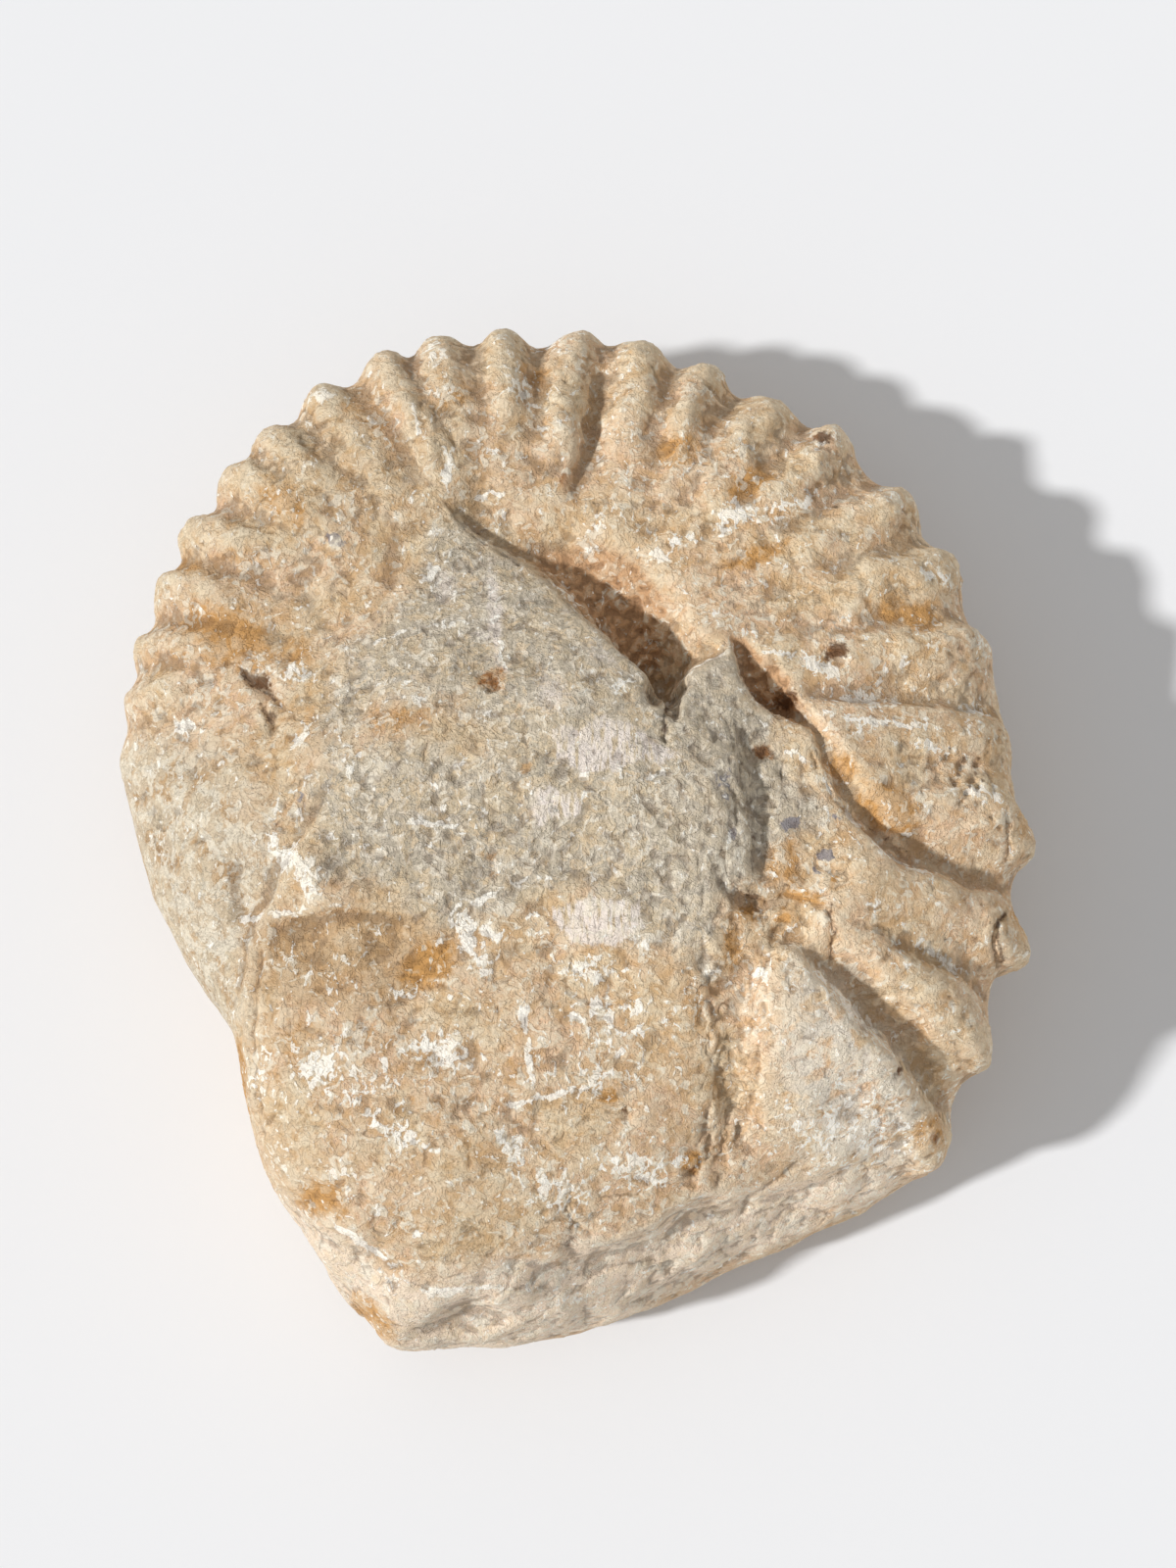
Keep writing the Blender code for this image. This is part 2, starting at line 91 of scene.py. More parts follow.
# The height of the outline above the ground, and how square the stone's edge is there: 2 is round.
# (angle, height, squareness)
EDGE = (
    (-60, 7.0, 2.6), (-45, 9.6, 2.9), (-30, 26.1, 3.1), (0, 21.5, 3.9), (45, 20.7, 2.5),
    (90, 24.8, 2.1), (130, 27.8, 3.8), (150, 25.0, 3.2), (170, 24.0, 3.2), (185, 22.0, 3.4),
    (200, 21.0, 4.2), (216, 20.0, 6.5), (235, 16.0, 7.0), (250, 13.0, 4.8), (262, 11.0, 3.6),
    (275, 8.0, 3.0), (290, 7.0, 2.7),
)

CROWN = 42.0  # the height of the whorl's flank
REST_DEPTH = 1.6  # how far the underside would bulge below the ground if it weren't worn flat

# Each rib from its inner end to its tip, its height, and its width to the left and right of that path.
RIBS = (
    (((-51.5, 20.0), (-58.0, 18.8), (-65.4, 19.2)), 1.8, 2.7, 2.5),
    (((-46.5, 25.5), (-52.0, 25.0), (-59.5, 26.0), (-64.6, 26.8)), 2.4, 2.8, 2.5),
    (((-42.0, 29.5), (-47.5, 31.5), (-54.3, 34.2), (-62.0, 35.6)), 2.8, 3.0, 2.6),
    (((-37.7, 35.9), (-44.0, 38.6), (-50.8, 41.5), (-58.2, 44.0)), 3.2, 3.2, 2.7),
    (((-30.0, 35.5), (-36.4, 41.0), (-43.0, 46.6), (-52.6, 52.8)), 3.3, 3.3, 2.8),
    (((-29.9, 41.0), (-34.4, 46.2), (-39.5, 51.8), (-47.5, 59.0)), 3.2, 3.3, 2.8),
    (((-25.4, 45.7), (-29.7, 52.0), (-34.2, 58.4), (-39.8, 66.0)), 3.1, 3.3, 2.8),
    (((-18.6, 45.0), (-18.6, 50.0), (-20.5, 54.6), (-24.6, 60.4), (-30.2, 71.4)), 3.1, 3.2, 2.7),
    (((-15.3, 53.6), (-16.3, 57.8), (-18.4, 63.1), (-21.4, 74.6)), 3.0, 3.2, 2.7),
    (((-9.8, 50.7), (-9.7, 57.8), (-9.8, 64.0), (-10.6, 75.2)), 3.0, 3.2, 2.7),
    (((-2.8, 49.3), (-2.4, 53.6), (-1.7, 60.3), (-0.2, 75.2)), 3.0, 3.2, 2.7),
    (((6.8, 42.4), (7.4, 52.5), (7.8, 59.0), (10.3, 73.6)), 2.5, 3.2, 2.9),
    (((12.2, 45.2), (14.4, 53.9), (15.6, 59.6), (19.8, 70.0)), 2.7, 3.0, 2.9),
    (((17.8, 42.4), (22.1, 52.8), (25.0, 58.4), (30.2, 65.2)), 2.6, 3.0, 3.4),
    (((23.7, 43.4), (28.3, 47.7), (33.4, 51.7), (39.6, 60.2)), 2.7, 2.9, 3.8),
    (((28.2, 37.6), (34.5, 41.6), (41.1, 45.4), (49.8, 50.0)), 2.5, 2.8, 4.2),
    (((28.1, 28.4), (36.4, 33.8), (44.3, 36.8), (56.8, 39.6)), 2.4, 2.4, 4.4),
    (((29.9, 24.3), (35.9, 24.2), (43.2, 25.0), (60.0, 27.6)), 1.5, 2.0, 4.6),
    (((34.1, 12.4), (43.0, 12.4), (51.6, 12.4), (63.2, 13.0)), 1.0, 2.6, 4.4),
    (((38.8, 6.3), (47.1, 5.1), (55.3, 5.3), (63.6, 5.4)), 0.7, 2.6, 4.0),
    (((43.5, 0.7), (51.3, 1.8), (58.7, 1.3), (67.0, -2.0)), 2.6, 3.0, 3.4),
    (((41.8, -7.5), (48.2, -9.0), (54.0, -11.4), (60.0, -15.0), (65.0, -17.6)), 2.2, 3.2, 3.6),
    (((41.1, -18.0), (47.2, -22.2), (52.8, -27.0), (60.8, -33.4)), 2.8, 3.2, 3.4),
    (((31.5, -24.5), (38.1, -31.0), (43.6, -35.2), (52.6, -45.2)), 1.8, 3.6, 5.0),
)
ROUNDNESS = 2.4  # the power that shapes a rib across its width
ROUNDED_OFF = 3.8  # the height above which the ribs are worn blunt

# How unevenly the ribs are worn: (size of the patches, share of the height).
RIB_WEAR = ((8.0, 0.36), (3.6, 0.28))

# The knobs at the ribs' tips: the common ones, as a share of the rib's height, and the ones that
# stand out more, each with its place, radius and height.
KNOB_RADIUS = 3.4
KNOB_HEIGHT = 0.4
KNOBS = (
    (63.6, -17.4, 3.0, 3.2), (65.6, -3.0, 3.4, 1.6), (58.6, -34.0, 2.4, 0.8), (36.4, 57.0, 2.6, 0.8),
    (49.0, -45.8, 2.8, 1.2),
)

# Ledges: (name, path of (x, y, drop, how far the drop runs, how far the low side takes to rise again)).
# The path is the upper edge, and the low side is on its left.
LEDGES = (
    ("matrix against the last whorl", (
        (31.6, 13.2, 0.0, 1.0, 2), (33.6, 9.4, 1.6, 1.2, 3), (35.6, 4.0, 2.4, 1.6, 4),
        (37.4, -0.6, 2.8, 1.8, 5), (41.2, -4.4, 4.0, 1.6, 5), (45.2, -7.2, 4.2, 1.8, 6),
        (52.0, -9.6, 3.4, 2.0, 6), (57.0, -10.6, 2.6, 2.0, 5), (64.0, -11.4, 2.0, 2.0, 4))),
    ("steep side of a rib", (
        (2.2, 73.0, 0.0, 1.2, 3), (1.5, 66.0, 1.2, 1.3, 4), (0.7, 60.0, 1.9, 1.3, 5),
        (-0.4, 55.0, 1.9, 1.3, 5), (-1.4, 50.4, 1.5, 1.2, 5), (-2.0, 46.4, 0.0, 1.2, 3))),
    ("edge of a rib", (
        (30.5, 15.4, 0.0, 1.0, 4), (37.9, 15.4, 1.5, 1.0, 6), (42.8, 15.8, 1.8, 1.1, 7),
        (52.0, 16.0, 1.7, 1.2, 7), (58.1, 15.6, 1.4, 1.2, 6), (64.0, 14.2, 0.8, 1.2, 5))),
    ("crease under a rib", (
        (38.0, -16.3, 0.0, 1.6, 5), (42.0, -18.6, 1.0, 1.6, 7), (45.5, -20.2, 1.4, 1.6, 7),
        (51.2, -22.4, 1.7, 1.6, 7), (58.8, -26.0, 1.6, 1.6, 6), (64.0, -28.6, 1.2, 1.6, 5))),
    ("furrow beside the last rib", (
        (25.7, -19.4, 0.0, 2.0, 3), (29.6, -20.6, 2.2, 2.4, 5), (34.0, -25.2, 3.8, 2.8, 6),
        (39.0, -30.2, 4.6, 3.0, 6), (43.8, -34.8, 4.8, 3.0, 6), (47.4, -39.4, 4.0, 3.0, 5),
        (54.0, -45.0, 2.0, 2.6, 4))),
    ("broken lower edge", (
        (44.0, -46.4, 0.0, 1.6, 12), (38.9, -48.0, 2.4, 1.8, 15), (32.7, -49.6, 4.0, 2.0, 18),
        (27.0, -51.6, 5.0, 2.2, 20), (21.5, -52.6, 5.8, 2.4, 20), (17.9, -52.4, 6.2, 2.4, 20),
        (13.6, -54.5, 6.6, 2.4, 20), (10.2, -57.8, 6.8, 2.2, 19), (6.3, -59.1, 6.2, 2.2, 17),
        (1.2, -59.7, 4.8, 2.2, 14), (-2.9, -60.4, 3.4, 2.0, 11), (-7.4, -60.4, 2.0, 1.8, 9),
        (-12.0, -62.0, 0.0, 1.6, 8))),
    ("rim of the lowest break", (
        (30.0, -57.0, 0.0, 1.2, 5), (24.0, -59.2, 1.6, 1.2, 6), (17.0, -62.4, 2.2, 1.2, 6),
        (11.2, -65.1, 2.0, 1.2, 5), (5.0, -67.4, 0.0, 1.2, 4))),
    ("hollow under the lower lip", (
        (-2.6, -66.4, 0.0, 2.0, 4), (-7.6, -66.6, 3.0, 2.2, 4.5), (-11.4, -67.0, 5.5, 2.4, 4.5),
        (-15.4, -66.2, 6.8, 2.6, 5), (-19.6, -68.0, 5.0, 2.4, 4.5), (-23.0, -70.0, 2.5, 2.0, 4),
        (-25.6, -71.5, 0.0, 1.6, 3))),
    ("shoulder of the left foot", (
        (-22.0, -60.8, 0.0, 2.4, 9), (-27.6, -59.4, 2.0, 2.4, 11), (-32.4, -58.2, 2.8, 2.4, 12),
        (-36.9, -55.5, 2.8, 2.4, 10), (-40.4, -51.6, 1.8, 2.2, 8), (-43.4, -46.6, 0.0, 2.0, 6))),
    ("left edge of the matrix", (
        (-48.5, -42.0, 0.0, 1.4, 8), (-47.0, -30.0, 1.6, 1.4, 10), (-44.6, -19.0, 2.2, 1.4, 11),
        (-40.5, -10.5, 2.4, 1.6, 12), (-36.0, -3.0, 1.6, 1.6, 12), (-32.0, 4.0, 0.0, 1.6, 10))),
    ("foot of the grey matrix", (
        (-20.0, -14.6, 0.0, 1.2, 6), (-26.0, -14.6, 1.0, 1.2, 8), (-33.0, -14.2, 1.6, 1.2, 9),
        (-40.0, -15.6, 1.4, 1.2, 9), (-47.0, -17.0, 0.0, 1.2, 8))),
    ("right face of the matrix", (
        (12.9, 14.0, 0.0, 9.0, 12), (15.4, 7.4, 2.2, 11.0, 14), (16.6, 2.0, 3.0, 13.0, 14),
        (16.8, -4.0, 3.2, 14.0, 14), (17.0, -10.0, 3.0, 13.0, 14), (17.4, -17.0, 2.4, 8.0, 10),
        (17.6, -24.0, 1.9, 4.0, 6), (18.0, -31.0, 1.8, 3.0, 5), (18.8, -38.0, 1.6, 2.8, 5),
        (20.6, -44.0, 1.2, 2.4, 4), (22.4, -49.0, 0.0, 2.2, 3))),
    ("split down the right face", (
        (21.8, 11.6, 0.0, 0.7, 4), (23.0, 7.4, 1.2, 0.7, 6), (23.8, 2.0, 1.6, 0.7, 6),
        (24.1, -3.0, 1.6, 0.7, 5), (24.5, -7.6, 1.4, 0.7, 3), (25.2, -11.0, 0.0, 0.7, 3))),
    ("crack at the foot of the right face", (
        (33.6, -13.6, 0.0, 0.8, 1.2), (28.3, -11.8, 1.2, 0.8, 1.4), (23.4, -12.6, 1.8, 0.9, 1.5),
        (20.9, -10.6, 1.6, 0.9, 1.4), (19.8, -6.6, 0.0, 0.8, 1.2))),
)

# The edges round the hollow that the matrix doesn't fill, written in the same way.
# Where they overlap the deepest counts, while ledges elsewhere add up.
HOLLOW = (
    ("matrix over the umbilicus", (
        (-20.5, 46.6, 0.0, 1.2, 6), (-18.2, 44.3, 1.4, 1.0, 7), (-14.9, 41.0, 2.4, 1.2, 8),
        (-10.1, 37.7, 3.0, 2.0, 10), (-6.9, 35.2, 4.0, 3.4, 11), (-2.6, 30.8, 6.5, 4.0, 12),
        (0.5, 26.8, 9.5, 3.4, 13), (4.2, 23.3, 12.5, 2.8, 13), (7.4, 20.3, 15.0, 2.4, 12),
        (10.0, 18.0, 17.0, 2.0, 9), (11.7, 15.9, 15.0, 1.5, 4), (12.5, 13.2, 6.0, 1.0, 1.4),
        (12.8, 10.6, 0.0, 0.8, 1.0))),
    ("right lobe's facet", (
        (12.6, 13.0, 0.0, 1.4, 2), (12.9, 15.4, 12.0, 1.6, 2), (14.0, 17.8, 10.0, 1.8, 3),
        (15.9, 19.5, 6.0, 2.4, 3.5), (18.5, 20.6, 4.0, 2.4, 3.5), (21.2, 21.8, 2.4, 1.8, 3),
        (22.0, 24.4, 0.0, 1.0, 2))),
    ("trench beside the lobe", (
        (21.6, 25.6, 0.0, 0.8, 2), (22.2, 23.2, 2.6, 1.0, 3), (23.0, 18.9, 6.0, 1.4, 5),
        (25.4, 15.4, 7.5, 1.6, 5.5), (28.0, 13.4, 7.5, 1.6, 5), (30.7, 12.8, 5.0, 1.2, 2.5),
        (32.6, 11.6, 1.6, 1.0, 2), (33.8, 9.6, 0.0, 1.0, 2))),
)

# Broad rises and hollows of the upper face: (x, y, reach along, reach across, turn in degrees, height,
# flatness of the top: 1 is round).
SWELLS = (
    (-6.0, -22.0, 55.0, 52.0, 0, 11.0, 3),
    (-4.0, 14.0, 24.0, 20.0, 0, 2.5, 1),
    (35.0, -37.0, 14.0, 11.0, -45, 3.4, 2),
    (-25.0, -22.0, 9.0, 6.0, 10, -1.4, 1),
    (-38.5, -8.0, 13.0, 3.6, -52, 1.6, 1),
    (-20.0, -52.0, 16.0, 10.0, 20, 1.2, 1),
    (6.0, -45.0, 12.0, 9.0, 0, 0.8, 1),
    (-46.0, -30.0, 20.0, 4.0, 88, 0.8, 1),
    (44.0, -1.0, 6.0, 5.0, 0, -1.2, 1),
    (-50.0, 4.0, 12.0, 7.0, 60, 0.9, 1),
    (-28.0, 8.0, 10.0, 7.0, 40, 0.7, 1),
)

# Unevenness all over: (size of the lumps, height).
LUMPS = ((19.0, 1.0), (9.5, 0.55), (5.0, 0.3))
WANDER = (7.0, 0.9)  # how far the ribs and ledges stray from their paths: (size of the bends, distance)

# The underside's umbilicus: (x, y, radius, depth).
LOWER_UMBILICUS = (10.0, 18.0, 11.0, 9.0)

# Outlines of the stone's differently coloured or weathered areas, on its upper face.
MATRIX_AREA = (
    (-18.3, 43.5), (-14.8, 40.4), (-9.2, 36.7), (-3.7, 31.9), (0.4, 28.0), (5.2, 24.0), (9.3, 20.4),
    (11.7, 17.6), (12.6, 15.0), (14.5, 18.0), (17.9, 20.5), (21.3, 23.4), (22.4, 21.3), (24.4, 16.4),
    (27.7, 10.1), (31.1, 3.9), (33.7, -0.3), (35.1, -2.4), (30.3, -4.4), (27.5, -8.5), (24.8, -11.3),
    (21.4, -12.6), (20.0, -18.1), (18.6, -24.8), (9.9, -19.0), (1.8, -13.3), (-3.6, -13.4), (-9.7, -15.7),
    (-16.8, -18.3), (-25.0, -13.6), (-35.4, -11.2), (-36.4, 1.2), (-35.0, 12.0), (-31.0, 23.8), (-25.6, 28.0),
    (-22.2, 33.1), (-22.0, 38.8),
)
TAN_ISLAND = (
    (-33.0, 9.0), (-28.5, 14.5), (-22.0, 17.0), (-14.0, 14.5), (-9.6, 9.5), (-10.5, 5.0), (-15.0, 3.0),
    (-21.0, 5.0), (-26.5, 4.5), (-32.0, 5.0),
)
STREAKED_FACE = (
    (12.8, 15.6), (17.1, 19.7), (20.6, 22.1), (23.5, 18.4), (27.7, 10.1), (31.1, 3.9), (33.7, -0.3),
    (30.3, -4.4), (27.5, -8.5), (24.8, -11.3), (21.4, -12.6), (18.0, -18.0), (13.0, -12.0), (13.5, -4.0),
    (15.5, 3.0), (14.0, 9.0),
)
ROUGH_SLOPE = (
    (-6.5, 38.6), (-0.3, 39.0), (3.7, 38.4), (8.5, 37.2), (12.4, 32.6), (13.2, 29.5), (12.6, 25.5),
    (10.6, 19.0), (5.4, 24.0), (0.6, 28.4), (-3.6, 33.0),
)
TRENCH_WALL = (
    (21.6, 25.6), (22.6, 20.4), (25.0, 16.0), (28.0, 13.6), (30.7, 12.8), (32.0, 14.4), (31.2, 17.2),
    (29.0, 20.4), (26.0, 23.2),
)
SMOOTH_WALL = (
    (-75.0, 10.0), (-60.0, 11.0), (-52.0, 8.0), (-47.0, 4.0), (-44.5, -3.0), (-40.5, -9.5), (-44.5, -15.5),
    (-46.0, -25.0), (-46.5, -33.0), (-47.5, -42.0), (-60.0, -44.0), (-75.0, -10.0),
)
PALE_LOBE = (
    (30.0, -21.5), (36.5, -25.5), (42.0, -30.5), (47.5, -37.5), (50.0, -46.0), (42.0, -52.5), (33.0, -49.0),
    (28.5, -43.0), (28.0, -34.0),
)
CRUMBLY_STRIP = (
    (17.5, -15.0), (22.0, -13.0), (29.0, -12.5), (33.0, -15.0), (31.0, -20.0), (27.0, -24.0), (27.0, -31.0),
    (25.5, -38.0), (25.5, -45.0), (22.0, -51.0), (15.0, -51.0), (17.5, -42.0), (16.0, -33.0), (15.5, -25.0),
)
BROKEN_FACE = (
    (46.0, -50.0), (32.7, -51.0), (27.0, -52.6), (21.5, -53.8), (16.6, -55.0), (12.5, -56.8), (9.0, -58.5),
    (5.3, -59.5), (1.2, -60.0), (-2.9, -60.4), (-7.4, -61.4), (-14.0, -64.0), (-23.0, -66.0), (-30.0, -61.0),
    (-40.0, -54.0), (-48.0, -56.0), (-30.0, -90.0), (20.0, -90.0), (50.0, -70.0),
)
BROWN_SCOOP = (
    (-45.0, -17.5), (-39.0, -16.6), (-32.0, -15.6), (-22.0, -15.2), (-15.8, -17.0), (-19.0, -24.0),
    (-24.5, -29.0), (-32.0, -30.0), (-44.0, -27.5),
)
TOOLED = (
    ((-4.1, 9.0), (2.0, 10.2), (8.6, 10.6), (11.6, 7.6), (14.8, 4.6), (5.8, 3.3), (1.4, 3.0), (-2.4, 5.5)),
    ((-5.9, 0.9), (0.4, 0.7), (0.9, -3.6), (-5.6, -4.4)),
    ((-3.2, -16.0), (2.4, -14.0), (8.4, -14.4), (10.0, -17.6), (6.0, -20.4), (-1.0, -19.4)),
)

# Patches: (x, y, reach along, reach across, turn in degrees, strength).
OCHRE = (
    (-50.4, 26.0, 10.3, 6.9, -20, 0.8), (-37.8, 10.1, 5.4, 6.1, 0, 0.5), (-6.1, 66.6, 4.2, 4.2, 0, 0.6),
    (14.5, 54.0, 4.2, 3.9, 0, 0.8), (25.0, 49.0, 6.9, 3.6, 30, 0.8), (25.4, 37.4, 7.5, 1.8, 22, 0.9),
    (48.1, 29.5, 8.3, 3.1, -6, 0.8), (43.8, -0.1, 5.2, 3.2, -30, 1.2), (28.3, -8.2, 3.6, 4.7, 0, 0.9),
    (21.3, -20.1, 2.7, 6.5, 0, 0.7), (15.9, -29.0, 2.7, 4.8, 0, 0.5), (-19.9, -23.2, 5.4, 3.3, 40, 1.1),
    (-34.4, -54.7, 4.6, 2.8, 0, 0.9), (-28.7, -70.6, 5.4, 2.9, -40, 1.0), (-46.3, -38.6, 1.6, 9.5, 0, 0.9),
    (50.3, -44.6, 3.2, 3.2, 0, 1.1), (16.2, -49.6, 1.9, 1.7, 0, 1.1), (65.0, -1.3, 2.6, 3.0, 0, 0.9),
    (63.5, -15.5, 3.0, 3.5, 0, 0.9), (4.7, -40.7, 1.1, 1.0, 0, 1.4), (38.3, 5.3, 3.3, 2.5, 0, 0.8),
    (-39.5, 23.6, 4.1, 5.5, 0, 0.6), (32.8, -30.0, 4.1, 2.5, 40, 0.4), (-3.6, -61.9, 8.4, 3.3, 0, 0.5),
    (36.5, -56.3, 7.1, 2.0, 25, 0.5), (7.3, 16.4, 4.1, 3.3, 0, 0.2), (-18.0, 62.0, 3.0, 5.0, 20, 0.6),
    (-42.0, 45.0, 7.0, 3.0, -45, 0.7), (-56.0, 36.0, 5.0, 3.0, -20, 0.7), (52.0, 8.6, 8.0, 1.8, -10, 0.4),
    (31.5, -13.4, 4.0, 1.3, -15, 0.9), (-11.6, -8.6, 2.2, 1.2, 0, 0.9), (-10.9, -11.3, 2.0, 0.9, 0, 0.8),
    (-6.8, 3.5, 1.3, 1.2, 0, 1.2), (28.9, -15.9, 1.8, 1.4, 10, 1.2), (23.7, -15.9, 1.4, 2.0, 0, 1.0),
    (35.6, -10.9, 0.6, 0.6, 0, 1.4), (-40.0, -34.0, 7.0, 9.0, 0, 0.45), (-6.0, -36.0, 16.0, 10.0, 0, 0.35),
    (10.0, -48.0, 10.0, 6.0, 0, 0.3), (-24.0, -40.0, 9.0, 6.0, 0, 0.45), (-30.0, 58.0, 6.0, 4.0, -50, 0.5),
    (-50.0, 38.0, 6.0, 3.0, -30, 0.5), (8.0, 62.0, 3.0, 6.0, 0, 0.4), (42.0, 47.0, 6.0, 3.0, 40, 0.4),
    (-24.0, 11.0, 9.0, 4.5, 10, 0.7), (-11.5, 16.5, 3.6, 3.0, 0, 0.9), (-8.0, 12.0, 2.0, 4.0, 20, 0.6),
    (-30.0, 20.0, 4.0, 5.0, 0, 0.5), (-13.0, 2.0, 3.0, 2.0, 0, 0.5), (-4.0, -9.5, 4.0, 1.6, 0, 0.6),
)
RUST = (
    (-11.7, 16.5, 3.0, 0.9, 30, 1.0), (-11.6, 16.4, 2.4, 0.8, -50, 1.0), (-1.7, 48.7, 0.5, 2.0, 10, 1.2),
    (6.8, -42.7, 1.0, 0.8, 0, 0.5),
    (37.1, 22.9, 1.9, 1.2, 15, 1.2), (26.0, 7.1, 1.7, 1.2, 0, 1.2), (-44.3, 18.2, 1.8, 1.4, 0, 1.0),
    (50.8, -45.6, 1.2, 1.0, 0, 0.9), (44.9, -36.7, 0.5, 1.1, 20, 0.9), (16.1, -50.4, 0.7, 0.6, 0, 0.9),
    (36.6, 57.4, 1.9, 0.6, -8, 1.3), (30.0, 15.6, 1.8, 1.7, 0, 0.9), (-53.9, 12.4, 1.1, 0.8, 0, 0.5),
    (64.6, -15.0, 1.3, 1.8, 0, 0.6), (66.0, -3.0, 1.0, 1.4, 0, 0.6), (-8.6, 16.8, 0.9, 0.6, -50, 0.8),
)
WHITE = (
    (-34.2, -37.3, 3.8, 3.3, 0, 1.0), (-43.1, -36.6, 1.7, 3.3, 0, 0.8), (-17.8, -35.1, 4.9, 2.2, -15, 1.1),
    (-8.0, -48.3, 2.2, 2.7, 0, 0.9), (-21.5, -27.4, 3.2, 0.7, 0, 1.0), (-55.6, 12.5, 1.6, 1.0, 0, 1.4),
    (-38.3, -9.6, 6.6, 1.9, -52, 1.1), (34.6, 20.6, 4.4, 1.1, -12, 1.4), (29.4, 22.3, 4.9, 0.4, -6, 1.2),
    (-18.3, 49.9, 1.0, 3.6, 0, 1.1), (1.8, -24.5, 4.1, 2.2, 0, 0.8), (-7.1, -29.5, 1.2, 1.4, 0, 1.3),
    (-2.2, -53.4, 4.1, 2.7, 0, 0.8), (42.6, -44.5, 5.6, 4.7, 40, 0.6), (35.5, -44.7, 8.3, 5.5, 20, 0.5),
    (14.3, 39.8, 1.6, 1.2, 0, 0.8), (23.4, 44.1, 4.1, 1.7, 30, 1.0), (31.2, 45.8, 4.7, 1.2, 25, 1.0),
    (52.4, 36.0, 3.3, 1.0, -10, 1.0), (43.2, 12.3, 8.3, 0.6, -5, 1.1), (25.3, 25.3, 1.4, 0.9, 0, 0.8),
    (9.2, -50.8, 5.5, 3.3, 0, 0.7), (-23.4, -46.4, 3.3, 2.4, 0, 0.8), (-32.3, -25.1, 2.2, 2.7, 0, 0.5),
    (-14.2, -19.2, 1.6, 4.4, 20, 1.2), (-8.2, 63.7, 1.7, 2.8, 0, 0.9), (-37.1, 62.0, 2.8, 1.4, 0, 1.0),
    (-4.0, 72.4, 1.4, 2.0, 0, 0.8), (-20.6, 68.4, 1.4, 3.4, 10, 1.0), (38.0, -28.5, 6.6, 1.4, -42, 1.0),
    (57.9, 15.6, 2.8, 1.2, 0, 0.9), (0.5, -38.5, 5.4, 2.7, 0, 0.6), (-14.5, 25.2, 2.2, 1.2, 0, 0.3),
    (-1.0, 31.0, 3.0, 1.2, -45, 0.7), (-20.0, 33.0, 3.0, 4.0, 0, 0.6), (6.4, 15.8, 2.6, 1.2, 30, 1.0),
    (5.0, -30.0, 8.0, 5.0, 0, 0.5), (-28.0, -40.0, 7.0, 5.0, 0, 0.5), (25.3, -24.1, 1.6, 1.2, 20, 1.1),
    (-11.4, -19.0, 0.9, 1.8, 20, 1.3), (-31.0, 4.0, 1.0, 1.2, 0, 1.2), (-37.6, 8.6, 1.6, 2.2, -20, 1.0),
    (-39.6, 19.0, 3.4, 1.6, -20, 0.9), (-5.4, -17.0, 0.8, 1.3, 0, 1.2), (-3.4, -19.1, 0.5, 0.8, 0, 1.2),
    (51.0, 9.0, 5.0, 0.8, -4, 0.8), (46.0, -8.0, 6.0, 1.0, -18, 0.8), (50.0, -20.0, 6.0, 1.1, -30, 0.8),
    (40.5, 16.0, 7.0, 1.3, -1, 0.9), (58.0, 2.5, 3.4, 1.2, -10, 0.8),
)
PALE = (
    (-4.8, -1.8, 1.8, 3.4, 0, 0.8), (-13.3, 23.2, 1.8, 0.9, 0, 1.0), (9.6, -17.8, 2.0, 1.2, 0, 0.4),
    (-3.0, 14.0, 3.2, 4.6, 20, 0.7), (-11.3, 27.0, 1.2, 10.0, 4, 1.0), (-18.5, 31.5, 3.4, 6.0, 0, 0.6),
    (4.0, 20.0, 5.0, 1.6, -40, 0.6), (-15.9, 3.9, 1.7, 1.4, 0, 0.6),
)
SLATE = (
    (30.1, -3.3, 1.4, 0.9, 0, 1.1), (34.8, -7.4, 1.3, 1.1, 0, 1.0), (36.4, -1.8, 1.2, 0.4, 0, 1.0),
    (33.6, -9.8, 0.6, 0.8, 0, 0.9), (-34.3, 38.8, 1.9, 1.0, -20, 0.9), (-37.5, -0.1, 1.4, 1.2, 0, 0.5),
    (-7.0, -29.8, 0.8, 1.0, 0, 0.8), (20.4, 2.4, 1.8, 3.6, 20, 0.5), (21.8, -4.7, 1.6, 3.4, 10, 0.4),
)

